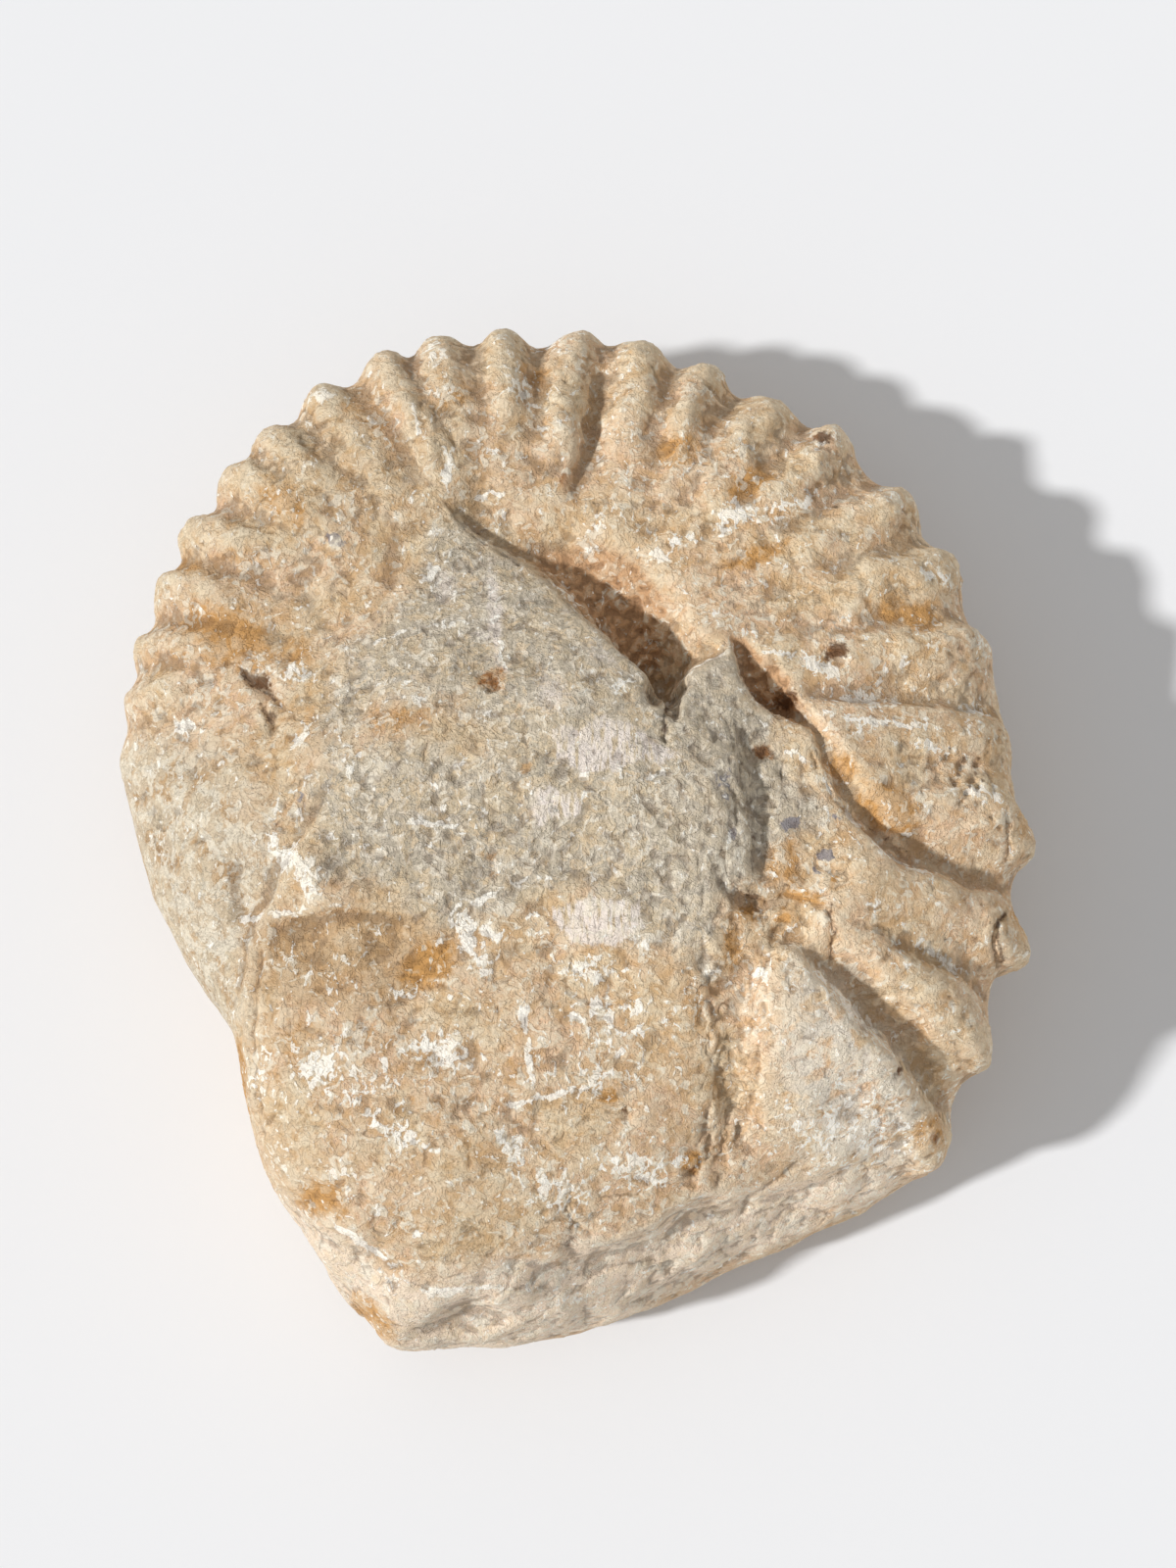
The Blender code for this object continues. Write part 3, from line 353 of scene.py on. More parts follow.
# Pale veins: (half width, strength, path).
VEINS = (
    (0.45, 1.3, ((-6.6, -30.6), (-6.2, -35.7), (-5.1, -41.0))),
    (0.5, 1.1, ((-9.0, -42.4), (-4.9, -41.4), (1.5, -39.9), (4.9, -36.5), (7.4, -34.0))),
    (0.45, 1.3, ((-13.2, -14.7), (-8.5, -12.3), (-5.4, -10.9), (-1.7, -11.9))),
    (0.5, 1.2, ((-17.2, -17.0), (-14.6, -20.4), (-12.4, -24.4))),
    (0.6, 0.7, ((-11.9, 34.3), (-11.5, 27.7), (-10.7, 23.1), (-10.0, 18.6), (-7.6, 13.3))),
    (0.4, 0.9, ((-28.0, 23.1), (-23.6, 24.5), (-18.0, 25.5), (-16.7, 32.9))),
    (0.35, 1.0, ((-26.6, -4.1), (-20.8, -3.8), (-16.4, -4.1))),
    (0.3, 1.3, ((10.9, 37.7), (12.4, 38.2), (14.4, 38.0), (12.2, 36.6))),
    (0.45, 1.0, ((-45.9, -16.2), (-40.3, -16.2), (-34.8, -15.8), (-31.7, -15.1))),
    (0.45, 1.0, ((29.9, 7.7), (34.1, 4.3), (36.2, 0.8), (39.6, -3.0))),
    (0.35, 1.2, ((-14.8, 46.1), (-10.0, 46.6), (-5.8, 46.1))),
    (0.45, 1.0, ((12.8, 15.4), (14.4, 18.0), (17.9, 20.6), (21.0, 21.9))),
    (0.4, 0.9, ((1.0, 2.7), (5.8, 3.4), (9.6, 1.8), (14.5, 4.6))),
    (0.6, 0.9, ((-32.0, -58.4), (-26.0, -62.6), (-20.6, -67.4), (-15.2, -66.6), (-9.6, -66.0))),
    (0.35, 0.8, ((-24.0, 44.0), (-21.0, 52.0), (-24.0, 60.0))),
    (0.3, 1.0, ((38.0, 12.2), (44.0, 12.3), (51.0, 12.0))),
)

# Cracks: (half width, depth, path).
CRACKS = (
    (0.5, 1.0, ((-47.9, 20.4), (-45.3, 18.2), (-43.3, 16.8), (-41.9, 14.6))),
    (0.35, 0.7, ((-44.3, 18.2), (-44.7, 15.1), (-43.2, 11.6))),
    (0.3, 0.6, ((-25.3, -57.7), (-23.3, -56.2))),
    (0.3, 0.5, ((-7.2, 10.9), (-7.0, 8.4), (-6.8, 5.3))),
    (0.3, 0.5, ((-20.4, 8.4), (-21.4, 6.7), (-21.2, 4.2))),
    (0.45, 0.55, ((22.6, 8.6), (23.1, 7.3), (23.8, 1.1), (24.8, -5.2), (24.8, -9.3))),
    (0.5, 0.7, ((19.6, -7.3), (21.3, -10.0), (22.0, -11.7), (23.7, -12.8), (26.2, -14.5), (26.8, -16.3))),
    (0.4, 0.6, ((28.6, -11.7), (31.1, -13.0), (33.9, -13.7))),
    (0.35, 0.6, ((28.7, 6.1), (29.1, 3.8), (29.8, 1.3))),
    (0.4, 0.9, ((12.7, 13.8), (12.4, 10.8), (12.6, 8.6))),
    (0.3, 0.5, ((-19.0, 45.6), (-16.0, 42.2), (-12.0, 39.2), (-8.4, 36.8))),
    (0.4, 0.5, ((-43.4, -20.0), (-44.4, -25.0), (-44.8, -33.0), (-43.5, -45.0))),
    (0.4, 0.35, ((17.0, -16.8), (18.3, -24.9), (17.0, -27.0), (18.3, -33.7), (19.7, -36.8), (20.4, -40.5))),
    (0.4, 0.35, ((25.9, -28.3), (24.8, -33.7), (25.2, -37.1), (23.5, -42.1), (22.4, -45.9))),
    (0.35, 0.7, ((34.9, -14.4), (35.6, -16.7), (35.6, -20.9))),
    (0.35, 0.4, ((31.1, -48.7), (24.5, -53.4), (23.7, -55.5))),
    (0.3, 0.4, ((2.0, -59.0), (-1.0, -56.0), (-0.6, -52.0))),
    (0.35, 0.5, ((11.2, -65.3), (16.4, -62.7), (22.5, -59.7), (26.0, -58.4))),
    (0.3, 0.5, ((-15.0, -46.6), (-14.3, -49.6))),
    (0.3, 0.35, ((-17.4, 4.6), (-17.0, 2.6), (-15.6, 2.2), (-14.4, 3.0))),
    (0.25, 0.4, ((1.0, 7.5), (0.7, 6.4), (1.6, 5.8), (2.4, 6.0))),
    (0.4, 0.9, ((61.4, -13.6), (60.0, -15.6), (59.8, -18.2), (61.0, -20.6))),
    (0.3, 0.6, ((62.0, -5.4), (62.6, -2.6), (62.0, 0.2))),
    (0.4, 0.6, ((33.1, 7.5), (35.2, 4.8), (36.6, 1.6), (40.1, -1.7), (43.6, -4.2), (47.2, -5.5))),
)

# Pits: (x, y, radius, depth).
PITS = (
    (-11.7, 16.3, 0.9, 0.7), (-44.3, 18.2, 1.3, 1.2), (-43.0, 12.4, 1.0, 0.9), (6.8, -42.7, 0.9, 0.55),
    (37.4, 23.1, 1.5, 1.1), (35.8, 22.2, 0.8, 0.8), (25.8, 7.3, 1.1, 0.9), (44.9, -36.7, 0.7, 0.8),
    (16.1, -50.4, 0.8, 0.6), (36.6, 57.4, 1.4, 0.9), (30.0, 15.6, 1.4, 0.8), (-53.2, -3.7, 0.9, 0.5),
    (-41.0, -3.0, 1.0, 0.6), (55.4, 7.8, 0.7, 0.9), (56.8, 6.0, 0.65, 0.9), (54.2, 5.2, 0.6, 0.8),
    (57.6, 8.4, 0.6, 0.8), (55.9, 3.6, 0.7, 0.9), (53.6, 8.6, 0.6, 0.8), (58.0, 4.6, 0.6, 0.8),
    (54.8, 2.2, 0.6, 0.7), (-55.2, 6.4, 0.8, 0.5), (-57.4, 1.0, 0.7, 0.4), (-0.7, -60.2, 1.2, 0.6),
    (16.2, -51.8, 0.8, 0.6), (20.1, -51.3, 0.9, 0.6), (0.0, 9.5, 0.5, 0.7), (10.6, -1.0, 0.8, 0.3),
    (-4.0, 5.6, 0.6, 0.5), (-55.8, 13.4, 0.7, 0.5), (-54.0, 13.6, 0.5, 0.5), (-22.0, -24.0, 0.4, 0.4),
    (-46.0, 21.0, 0.5, 0.5), (-50.5, 22.5, 0.5, 0.4), (-45.5, -33.5, 0.5, 0.4), (-31.0, -62.0, 0.5, 0.5),
    (-27.6, -63.0, 0.4, 0.4), (61.0, -1.2, 0.5, 0.5), (59.6, 0.4, 0.4, 0.4), (27.0, -33.0, 0.4, 0.3),
)

# The patches, by the mask they make.
PATCHES = {"ochre": OCHRE, "rust": RUST, "slate": SLATE, "white": WHITE, "pale": PALE}

STREAKS = (0.35, -0.94)  # the way the streaks run on the matrix's face
CREST_REACH = 3.2  # how far around a place the ribs are compared with it, to find crests and furrows
FINE_RELIEF = 0.16  # the fine relief from the deepest hollow to the barest edge that the colours follow: grime and painted shade in the hollows, a painted highlight on the edges

# How rough each kind of surface is, compared with the rest.
ROUGHER = {"matrix": 1.1, "face": 1.3, "wall": 0.5, "broken": 0.8, "slope": 2.2, "lobe": 0.9, "crumbly": 2.0}

# The masks that the material reads, three to an attribute.
MASKS = {
    "areas": ("matrix", "wall", "broken"),
    "grounds": ("slope", "scoop", "lobe"),
    "strips": ("face", "crumbly", "island"),
    "stains": ("ochre", "rust", "slate"),
    "lights": ("white", "vein", "pale"),
    "forms": ("crest", "furrow", "fine"),
    "marks": ("crack", "tooled", "rib"),
}


def smooth_step(low, high, value):
    """0 below low, 1 above high and a smooth rise between them."""
    share = np.clip((value - low) / (high - low), 0.0, 1.0)
    return share * share * (3.0 - 2.0 * share)


def around(knots, column, degrees):
    """A smooth closed curve through one column of the knots, read at these angles."""
    angle, value = (np.array([knot[i] for knot in knots], float) for i in (0, column))
    angle = np.concatenate([angle[-2:] - 360.0, angle, angle[:2] + 360.0])
    value = np.concatenate([value[-2:], value, value[:2]])
    slope = np.gradient(value, angle)
    at = (degrees - angle[2]) % 360.0 + angle[2]
    first = np.searchsorted(angle, at, side="right") - 1
    span = angle[first + 1] - angle[first]
    t = (at - angle[first]) / span
    return (
        (1 + 2 * t) * (1 - t) ** 2 * value[first]
        + t * (1 - t) ** 2 * span * slope[first]
        + t * t * (3 - 2 * t) * value[first + 1]
        + t * t * (t - 1) * span * slope[first + 1]
    )


def beside(path, x, y):
    """How far each point is to the left of a path, and the place along it that it is nearest to."""
    path = np.array(path, float)[:, :2]
    nearest = np.full(x.shape, np.inf)
    across = np.zeros(x.shape)
    along = np.zeros(x.shape)
    for number, ((x0, y0), (x1, y1)) in enumerate(zip(path[:-1], path[1:])):
        length = math.hypot(x1 - x0, y1 - y0)
        ux, uy = (x1 - x0) / length, (y1 - y0) / length
        reach = np.clip((x - x0) * ux + (y - y0) * uy, 0.0, length)
        distance = np.hypot(x - x0 - reach * ux, y - y0 - reach * uy)
        left = ux * (y - y0) - uy * (x - x0)
        tie = np.abs(distance - nearest) < 1e-6
        closer = np.where(tie, np.abs(left) > np.abs(across), distance < nearest)
        nearest = np.where(closer, distance, nearest)
        across = np.where(closer, left, across)
        along = np.where(closer, number + reach / length, along)
    return np.copysign(nearest, across), along


def rib_height(x, y):
    """How far the ribs stand out at each place."""
    height = np.zeros(x.shape)
    for path, top, left, right in RIBS:
        across, along = beside(path, x, y)
        share = along / (len(path) - 1)
        spread = np.where(across > 0, left, right)
        grown = top * (0.12 + 0.88 * smooth_step(0.0, 0.75, share))
        height += grown * np.exp(-(np.abs(across / spread) ** ROUNDNESS))
        (x0, y0), (x1, y1) = path[-2:]
        knob_x, knob_y = x1 + 0.2 * (x0 - x1), y1 + 0.2 * (y0 - y1)
        distance = np.hypot(x - knob_x, y - knob_y)
        height += KNOB_HEIGHT * top * np.exp(-((distance / KNOB_RADIUS) ** 2))
    for size, share in RIB_WEAR:
        height *= 1.0 + share * bumps(size, x, y, np.zeros(x.shape))
    height = ROUNDED_OFF * np.tanh(height / ROUNDED_OFF)
    for knob_x, knob_y, radius, top in KNOBS:
        distance = np.hypot(x - knob_x, y - knob_y)
        height += top * np.exp(-((distance / radius) ** 3))
    return height


def below_ledge(path, x, y):
    """How far the face is let down beside one ledge."""
    across, along = beside(path, x, y)
    places = np.arange(len(path))
    drop, run, reach = (np.interp(along, places, [point[i] for point in path]) for i in (2, 3, 4))
    fall = smooth_step(0.0, 1.0, across / run)
    rise = smooth_step(0.0, 1.0, (across - run) / reach)
    return drop * fall * (1.0 - rise)


def ledge_relief(x, y):
    """How far the upper face is let down beside all its ledges."""
    added_up = sum(below_ledge(path, x, y) for _, path in LEDGES)
    deepest = np.maximum.reduce([below_ledge(path, x, y) for _, path in HOLLOW])
    return -(added_up + deepest)


def swell_relief(x, y):
    """The broad rises and hollows of the upper face."""
    relief = np.zeros(x.shape)
    for x0, y0, reach_along, reach_across, turn, height, flatness in SWELLS:
        c, s = math.cos(math.radians(turn)), math.sin(math.radians(turn))
        u = ((x - x0) * c + (y - y0) * s) / reach_along
        v = ((y - y0) * c - (x - x0) * s) / reach_across
        relief += height * np.exp(-((u * u + v * v) ** flatness))
    return relief


def bumps(size, *place):
    """Smooth noise with lumps of this size, about -1 to 1."""
    return np.array([noise.noise(point) for point in (np.stack(place, axis=1) / size).tolist()])


def wandered(x, y, z):
    """The same places moved a little, so that lines drawn there come out crooked."""
    size, distance = WANDER
    return x + distance * bumps(size, x + 50.0, y, z), y + distance * bumps(size, x, y + 50.0, z)


def stone_surface(directions):
    """The stone's surface, in millimetres, in each of these directions from its middle."""
    dx, dy, dz = directions.T
    degrees = np.degrees(np.arctan2(dy, dx))
    even = np.mean([around(OUTLINE, 1, degrees + turn) for turn in np.linspace(-SPREAD, SPREAD, 9)], axis=0)
    uneven = around(OUTLINE, 1, degrees) - even
    edge = around(EDGE, 1, degrees)
    square = around(EDGE, 2, degrees)

    # A rounded slab: "out" runs from 0 at the middle to 1 at the edge, and "cap" from 1 to 0.
    out, cap = np.hypot(dx, dy), np.abs(dz)
    size = (out**square + cap**square) ** (-1.0 / square)
    out, cap = out * size, cap * size
    angle = np.radians(degrees)
    radius = even + uneven * out**INWARD
    x, y = radius * out * np.cos(angle), radius * out * np.sin(angle)

    upper = dz > 0
    height = np.where(upper, CROWN + swell_relief(x, y) - edge, edge + REST_DEPTH)
    z = edge + np.where(upper, height, -height) * cap

    # The way out of the slab there, along which the ribs and the lumps stand.
    side = out ** (square - 1) / radius
    face = np.where(upper, 1.0, -1.0) * cap ** (square - 1) / height
    length = np.hypot(side, face)
    stand = rib_height(*wandered(x, y, z)) + sum(amount * bumps(lump, x, y, z) for lump, amount in LUMPS)
    x = x + stand * side / length * np.cos(angle)
    y = y + stand * side / length * np.sin(angle)
    z = z + stand * face / length

    z += np.where(upper, ledge_relief(*wandered(x, y, z)) * smooth_step(0.0, 0.45, cap), 0.0)
    hollow_x, hollow_y, hollow_radius, hollow_depth = LOWER_UMBILICUS
    distance = np.hypot(x - hollow_x, y - hollow_y) / hollow_radius
    z += np.where(upper, 0.0, hollow_depth * np.exp(-(distance**2)))
    return np.stack([x, y, np.maximum(z, 0.0)], axis=1)


def inside(area, x, y):
    """How far inside an area each place is: below 0 is outside."""
    distance = np.full(x.shape, np.inf)
    within = np.zeros(x.shape, bool)
    for (x0, y0), (x1, y1) in zip(area, area[1:] + area[:1]):
        run, rise = x1 - x0, y1 - y0
        share = np.clip(((x - x0) * run + (y - y0) * rise) / (run * run + rise * rise), 0.0, 1.0)
        distance = np.minimum(distance, np.hypot(x - x0 - share * run, y - y0 - share * rise))
        crossed = (y0 > y) != (y1 > y)
        within ^= crossed & (x < x0 + run * (y - y0) / (rise if rise else 1e-9))
    return np.where(within, distance, -distance)


def patched(patches, x, y):
    """How strongly each place is covered by these patches."""
    cover = np.zeros(x.shape)
    for x0, y0, reach_along, reach_across, turn, strength in patches:
        c, s = math.cos(math.radians(turn)), math.sin(math.radians(turn))
        u = ((x - x0) * c + (y - y0) * s) / reach_along
        v = ((y - y0) * c - (x - x0) * s) / reach_across
        cover = np.maximum(cover, strength * np.exp(-(u * u + v * v)))
    return cover


def pitted(x, y):
    """How deep each place is in one of the pits."""
    return patched([(x0, y0, radius, radius, 0.0, depth) for x0, y0, radius, depth in PITS], x, y)


def jagged(amount, x, y, z):
    """The same places moved a little back and forth, so that what is drawn there has a ragged edge."""
    return x + amount * bumps(1.7, x, y, z + 9.0), y + amount * bumps(1.7, x, y, z + 30.0)


def lined(lines, x, y):
    """How strongly each place is covered by these lines."""
    cover = np.zeros(x.shape)
    broken_up = 0.5 + 0.5 * smooth_step(-0.25, 0.10, bumps(3.0, x, y, np.zeros(x.shape)))
    for half_width, strength, path in lines:
        across, _ = beside(path, x, y)
        cover = np.maximum(cover, strength * broken_up * np.exp(-((across / half_width) ** 2)))
    return cover


def cells(size, *place):
    """The distance to the nearest of the points strewn about at this spacing, as a share of it."""
    places = (np.stack(place, axis=1) / size).tolist()
    return np.array([noise.voronoi(point)[0][0] for point in places])


def chips(size, *place):
    """Small tilted facets of this size, about -0.5 to 0.5 high."""
    heights = []
    for point in (np.stack(place, axis=1) / size).tolist():
        middle = noise.voronoi(point)[1][0]
        heights.append(noise.noise_vector(middle * 7.3).dot(Vector(point) - middle))
    return np.array(heights)


def flakes(size, x, y, z):
    """Thin flakes broken away in steps, each with a ragged edge: 0 to 1 deep."""
    level = 1.5 * bumps(size, x, y, z) + 0.3 * bumps(0.3 * size, z, x, y)
    into = level - np.floor(level)
    return into - smooth_step(0.78, 1.0, into)


def upper_face(z, normals):
    """1 on the upper face, falling to 0 low on the wall and on the underside."""
    return smooth_step(12.0, 20.0, z) * smooth_step(-0.3, 0.1, normals[:, 2])


def surface_areas(x, y, z, upper):
    """Soft masks of the differently weathered areas."""
    x, y = x + 1.4 * bumps(3.4, x, y, z + 20.0), y + 1.4 * bumps(3.4, x, y, z + 60.0)
    x, y = x + 0.5 * bumps(1.2, x, y, z + 90.0), y + 0.5 * bumps(1.2, x, y, z + 40.0)

    def soft(area, edge):
        return upper * smooth_step(-edge, edge, inside(area, x, y))

    return {
        "matrix": soft(MATRIX_AREA, 5.0),
        "island": soft(TAN_ISLAND, 4.0),
        "face": soft(STREAKED_FACE, 2.0),
        "wall": soft(SMOOTH_WALL, 5.0),
        "broken": soft(BROKEN_FACE, 2.0),
        "slope": np.maximum(soft(ROUGH_SLOPE, 1.2), soft(TRENCH_WALL, 0.8)),
        "scoop": soft(BROWN_SCOOP, 2.0),
        "lobe": soft(PALE_LOBE, 4.0),
        "crumbly": soft(CRUMBLY_STRIP, 2.0),
        "tooled": np.maximum.reduce([soft(area, 0.8) for area in TOOLED]),
    }


def weathering(x, y, z, upper, grain):
    """How far the weathered surface stands out from the smooth one, in millimetres.

    Numbers added to a place only set one noise apart from the next.
    """
    areas = surface_areas(x, y, z, upper)
    rough = 1.0 + sum(areas[name] * (amount - 1.0) for name, amount in ROUGHER.items())
    uneven = 0.45 + 0.55 * smooth_step(-0.2, 0.35, bumps(9.0, x, y, z + 70.0))
    out = rough * grain * (bumps(1.25, x, y, z) + 0.6 * bumps(0.8, z, x, y))
    out += 0.12 * rough * uneven * bumps(3.1, y, z, x)
    out += rough * uneven * (0.28 * chips(4.6, x, y, z) + 0.17 * chips(2.1, x, y, z))
    flaky = 0.2 + 0.8 * smooth_step(0.0, 0.3, bumps(10.0, y, x, z))
    out -= rough * flaky * (0.32 * flakes(7.0, x, y, z) + 0.16 * flakes(3.2, y, z, x))

    # What only some areas have, and the chipped ribs.
    run_x, run_y = STREAKS
    along, across = run_x * x + run_y * y, run_x * y - run_y * x
    out += 0.55 * areas["face"] * chips(2.3, across, along / 3.0, z / 1.6)
    out += 0.2 * areas["face"] * bumps(0.9, across, along / 3.5, z)
    out -= areas["crumbly"] * (0.5 * flakes(3.2, x, y / 1.8, z) + 0.4 * flakes(6.0, x, y / 2.0, z))
    out += areas["broken"] * (chips(8.0, x, y, z) + 0.35 * chips(3.6, y, z, x))
    out += 0.35 * areas["matrix"] * chips(3.4, y, x, z)
    ribbed = smooth_step(0.3, 1.4, rib_height(x, y))
    out += ribbed * (0.28 * chips(3.4, x, y, z) + 0.12 * bumps(2.2, z, y, x) - 0.2 * flakes(4.5, x, z, y))
    pores = cells(1.6, x, y, z)
    out += 0.7 * areas["slope"] * (pores - 0.5) + 0.5 * areas["slope"] * bumps(1.3, y, x, z)

    # Cracks, pits and strewn pores.
    jag_x, jag_y = jagged(0.6, x, y, z)
    out -= upper * lined(CRACKS, jag_x, jag_y)
    out -= upper * pitted(jag_x, jag_y)
    strewn = smooth_step(0.26, 0.42, bumps(7.5, x + 80.0, y, z))
    out -= 0.22 * strewn * (1.0 - smooth_step(0.12, 0.30, pores))
    return out


def neighbour_mean(ends, count, values):
    """The mean of each point's neighbours."""
    total = np.empty_like(values)
    for axis in range(3):
        column = values[:, axis]
        total[:, axis] = np.bincount(ends[0], column[ends[1]], len(values))
        total[:, axis] += np.bincount(ends[1], column[ends[0]], len(values))
    return total / count[:, None]


def standing_out(mesh, rounds):
    """How far each point stands out from the ones around it, in millimetres: below 0 is in a hollow."""
    points, normals = points_of(mesh), normals_of(mesh)
    ends = np.empty(len(mesh.edges) * 2, np.int64)
    mesh.edges.foreach_get("vertices", ends)
    ends = ends.reshape(-1, 2).T
    count = np.bincount(ends.reshape(-1), minlength=len(points)).astype(float)
    even = points
    for _ in range(rounds):
        even = neighbour_mean(ends, count, even)
    return ((points - even) * normals).sum(axis=1) / MM


def points_of(mesh):
    """A mesh's points as an array."""
    flat = np.empty(len(mesh.vertices) * 3)
    mesh.vertices.foreach_get("co", flat)
    return flat.reshape(-1, 3)


def normals_of(mesh):
    """The way out of the mesh at each of its points."""
    flat = np.empty(len(mesh.vertices) * 3)
    mesh.vertex_normals.foreach_get("vector", flat)
    return flat.reshape(-1, 3)


def move_points(mesh, points):
    mesh.vertices.foreach_set("co", points.reshape(-1))
    mesh.update()


def through(mesh, kind, **settings):
    """The mesh after one modifier."""
    holder = bpy.data.objects.new("holder", mesh)
    bpy.context.scene.collection.objects.link(holder)
    modifier = holder.modifiers.new(kind, kind)
    for name, value in settings.items():
        setattr(modifier, name, value)
    result = bpy.data.meshes.new_from_object(holder.evaluated_get(bpy.context.evaluated_depsgraph_get()))
    bpy.data.objects.remove(holder)
    bpy.data.meshes.remove(mesh)
    return result


def fitted(points):
    """The points scaled to the solid's box."""
    low, high = points.min(axis=0), points.max(axis=0)
    return LOW + (points - low) * (HIGH - LOW) / (high - low)


def sculpted_mesh(sizes):
    """The whole stone as one closed mesh, with its weathered surface."""
    shape = bmesh.new()
    bmesh.ops.create_uvsphere(shape, u_segments=SEGMENTS, v_segments=RINGS, radius=1.0)
    mesh = bpy.data.meshes.new("ammonite_stone")
    shape.to_mesh(mesh)
    shape.free()
    mesh = through(mesh, "SUBSURF", subdivision_type="SIMPLE", levels=CUTS, render_levels=CUTS)
    directions = points_of(mesh)
    directions /= np.linalg.norm(directions, axis=1)[:, None]
    move_points(mesh, stone_surface(directions) * MM)
    mesh = through(mesh, "REMESH", mode="VOXEL", voxel_size=sizes.detail)

    points, normals = points_of(mesh), normals_of(mesh)
    x, y, z = points.T / MM
    out = weathering(x, y, z, upper_face(z, normals), sizes.grain / MM)
    points = points + out[:, None] * MM * normals
    points[:, 2] = np.maximum(points[:, 2], 0.0)
    move_points(mesh, fitted(points))
    mesh.calc_loop_triangles()
    return through(mesh, "DECIMATE", ratio=min(1.0, sizes.triangles / len(mesh.loop_triangles)))


def paint_masks(mesh):
    """Writes the masks that the material reads."""
    x, y, z = points_of(mesh).T / MM
    upper = upper_face(z, normals_of(mesh))
    masks = surface_areas(x, y, z, upper)
    jag_x, jag_y = jagged(0.7, x, y, z)
    for name, patches in PATCHES.items():
        masks[name] = upper * patched(patches, jag_x, jag_y)
    masks["vein"] = upper * lined(VEINS, jag_x, jag_y)
    masks["crack"] = upper * np.maximum(lined(CRACKS, jag_x, jag_y), pitted(jag_x, jag_y))
    masks["fine"] = np.clip(0.5 + standing_out(mesh, 3) / FINE_RELIEF, 0.0, 1.0)
    place = wandered(x, y, z)
    rib = rib_height(*place)
    turns = np.linspace(0.0, math.tau, 7)[:-1]
    ring = [(CREST_REACH * math.cos(turn), CREST_REACH * math.sin(turn)) for turn in turns]
    proud = rib - np.mean([rib_height(place[0] + dx, place[1] + dy) for dx, dy in ring], axis=0)
    masks["crest"] = np.clip(proud / 1.3, 0.0, 1.0)
    masks["furrow"] = np.clip(-proud / 0.9, 0.0, 1.0)
    masks["rib"] = np.clip(rib / 3.0, 0.0, 1.0)
    for attribute, names in MASKS.items():
        values = np.stack([masks[name] for name in names], axis=1).astype(np.float32)
        mesh.attributes.new(attribute, "FLOAT_VECTOR", "POINT").data.foreach_set("vector", values.reshape(-1))


class Weave:
    """A short way to lay out a material's nodes."""

    def __init__(self, tree):
        self.tree = tree

    def node(self, kind, inputs=(), **settings):
        node = self.tree.nodes.new(kind)
        for name, value in settings.items():
            setattr(node, name, value)
        for name, value in dict(inputs).items():
            self.join(value, node.inputs[name])
        return node

    def join(self, value, socket):
        if isinstance(value, bpy.types.NodeSocket):
            self.tree.links.new(value, socket)
        else:
            socket.default_value = value

    def sum(self, *terms):
        """Each term is a socket or number, or (socket or number, factor)."""
        total = 0.0
        for term in terms:
            value, factor = term if isinstance(term, tuple) else (term, 1.0)
            inputs = {0: value, 1: factor, 2: total}
            total = self.node("ShaderNodeMath", inputs, operation="MULTIPLY_ADD").outputs[0]
        return total

    def times(self, first, second):
        return self.node("ShaderNodeMath", {0: first, 1: second}, operation="MULTIPLY").outputs[0]

    def larger(self, first, second):
        return self.node("ShaderNodeMath", {0: first, 1: second}, operation="MAXIMUM").outputs[0]

    def step(self, value, none, full):
        """0 where the value is "none" and 1 where it is "full", whichever of the two is higher."""
        inputs = {"Value": value, "From Min": none, "From Max": full}
        return self.node("ShaderNodeMapRange", inputs, interpolation_type="SMOOTHSTEP").outputs[0]

    def mix(self, share, first, second, blend="MIX"):
        node = self.node("ShaderNodeMix", data_type="RGBA", blend_type=blend)
        self.join(share, node.inputs["Factor"])
        colours = [socket for socket in node.inputs if socket.type == "RGBA"]
        self.join(first, colours[0])
        self.join(second, colours[1])
        return next(socket for socket in node.outputs if socket.type == "RGBA")

    def noise(self, place, scale, detail=5.0, roughness=0.6, distortion=0.0):
        inputs = {"Vector": place, "Scale": scale, "Detail": detail, "Roughness": roughness}
        return self.node("ShaderNodeTexNoise", {**inputs, "Distortion": distortion}).outputs[0]

    def chips(self, place, scale):
        """Small tilted facets, about -0.5 to 0.5."""
        cell = self.node("ShaderNodeTexVoronoi", {"Vector": place, "Scale": scale})
        inputs = {0: place, 1: cell.outputs["Position"]}
        away = self.node("ShaderNodeVectorMath", inputs, operation="SUBTRACT").outputs[0]
        inputs = {0: cell.outputs["Color"], 1: (0.5, 0.5, 0.5)}
        tilt = self.node("ShaderNodeVectorMath", inputs, operation="SUBTRACT").outputs[0]
        lean = self.node("ShaderNodeVectorMath", {0: away, 1: tilt}, operation="DOT_PRODUCT")
        return self.times(lean.outputs["Value"], scale)

    def place(self, where, scale=(1.0, 1.0, 1.0), turn=0.0, shift=(0.0, 0.0, 0.0)):
        turned = (0.0, 0.0, math.radians(turn))
        inputs = {"Vector": where, "Scale": scale, "Rotation": turned, "Location": shift}
        return self.node("ShaderNodeMapping", inputs).outputs[0]


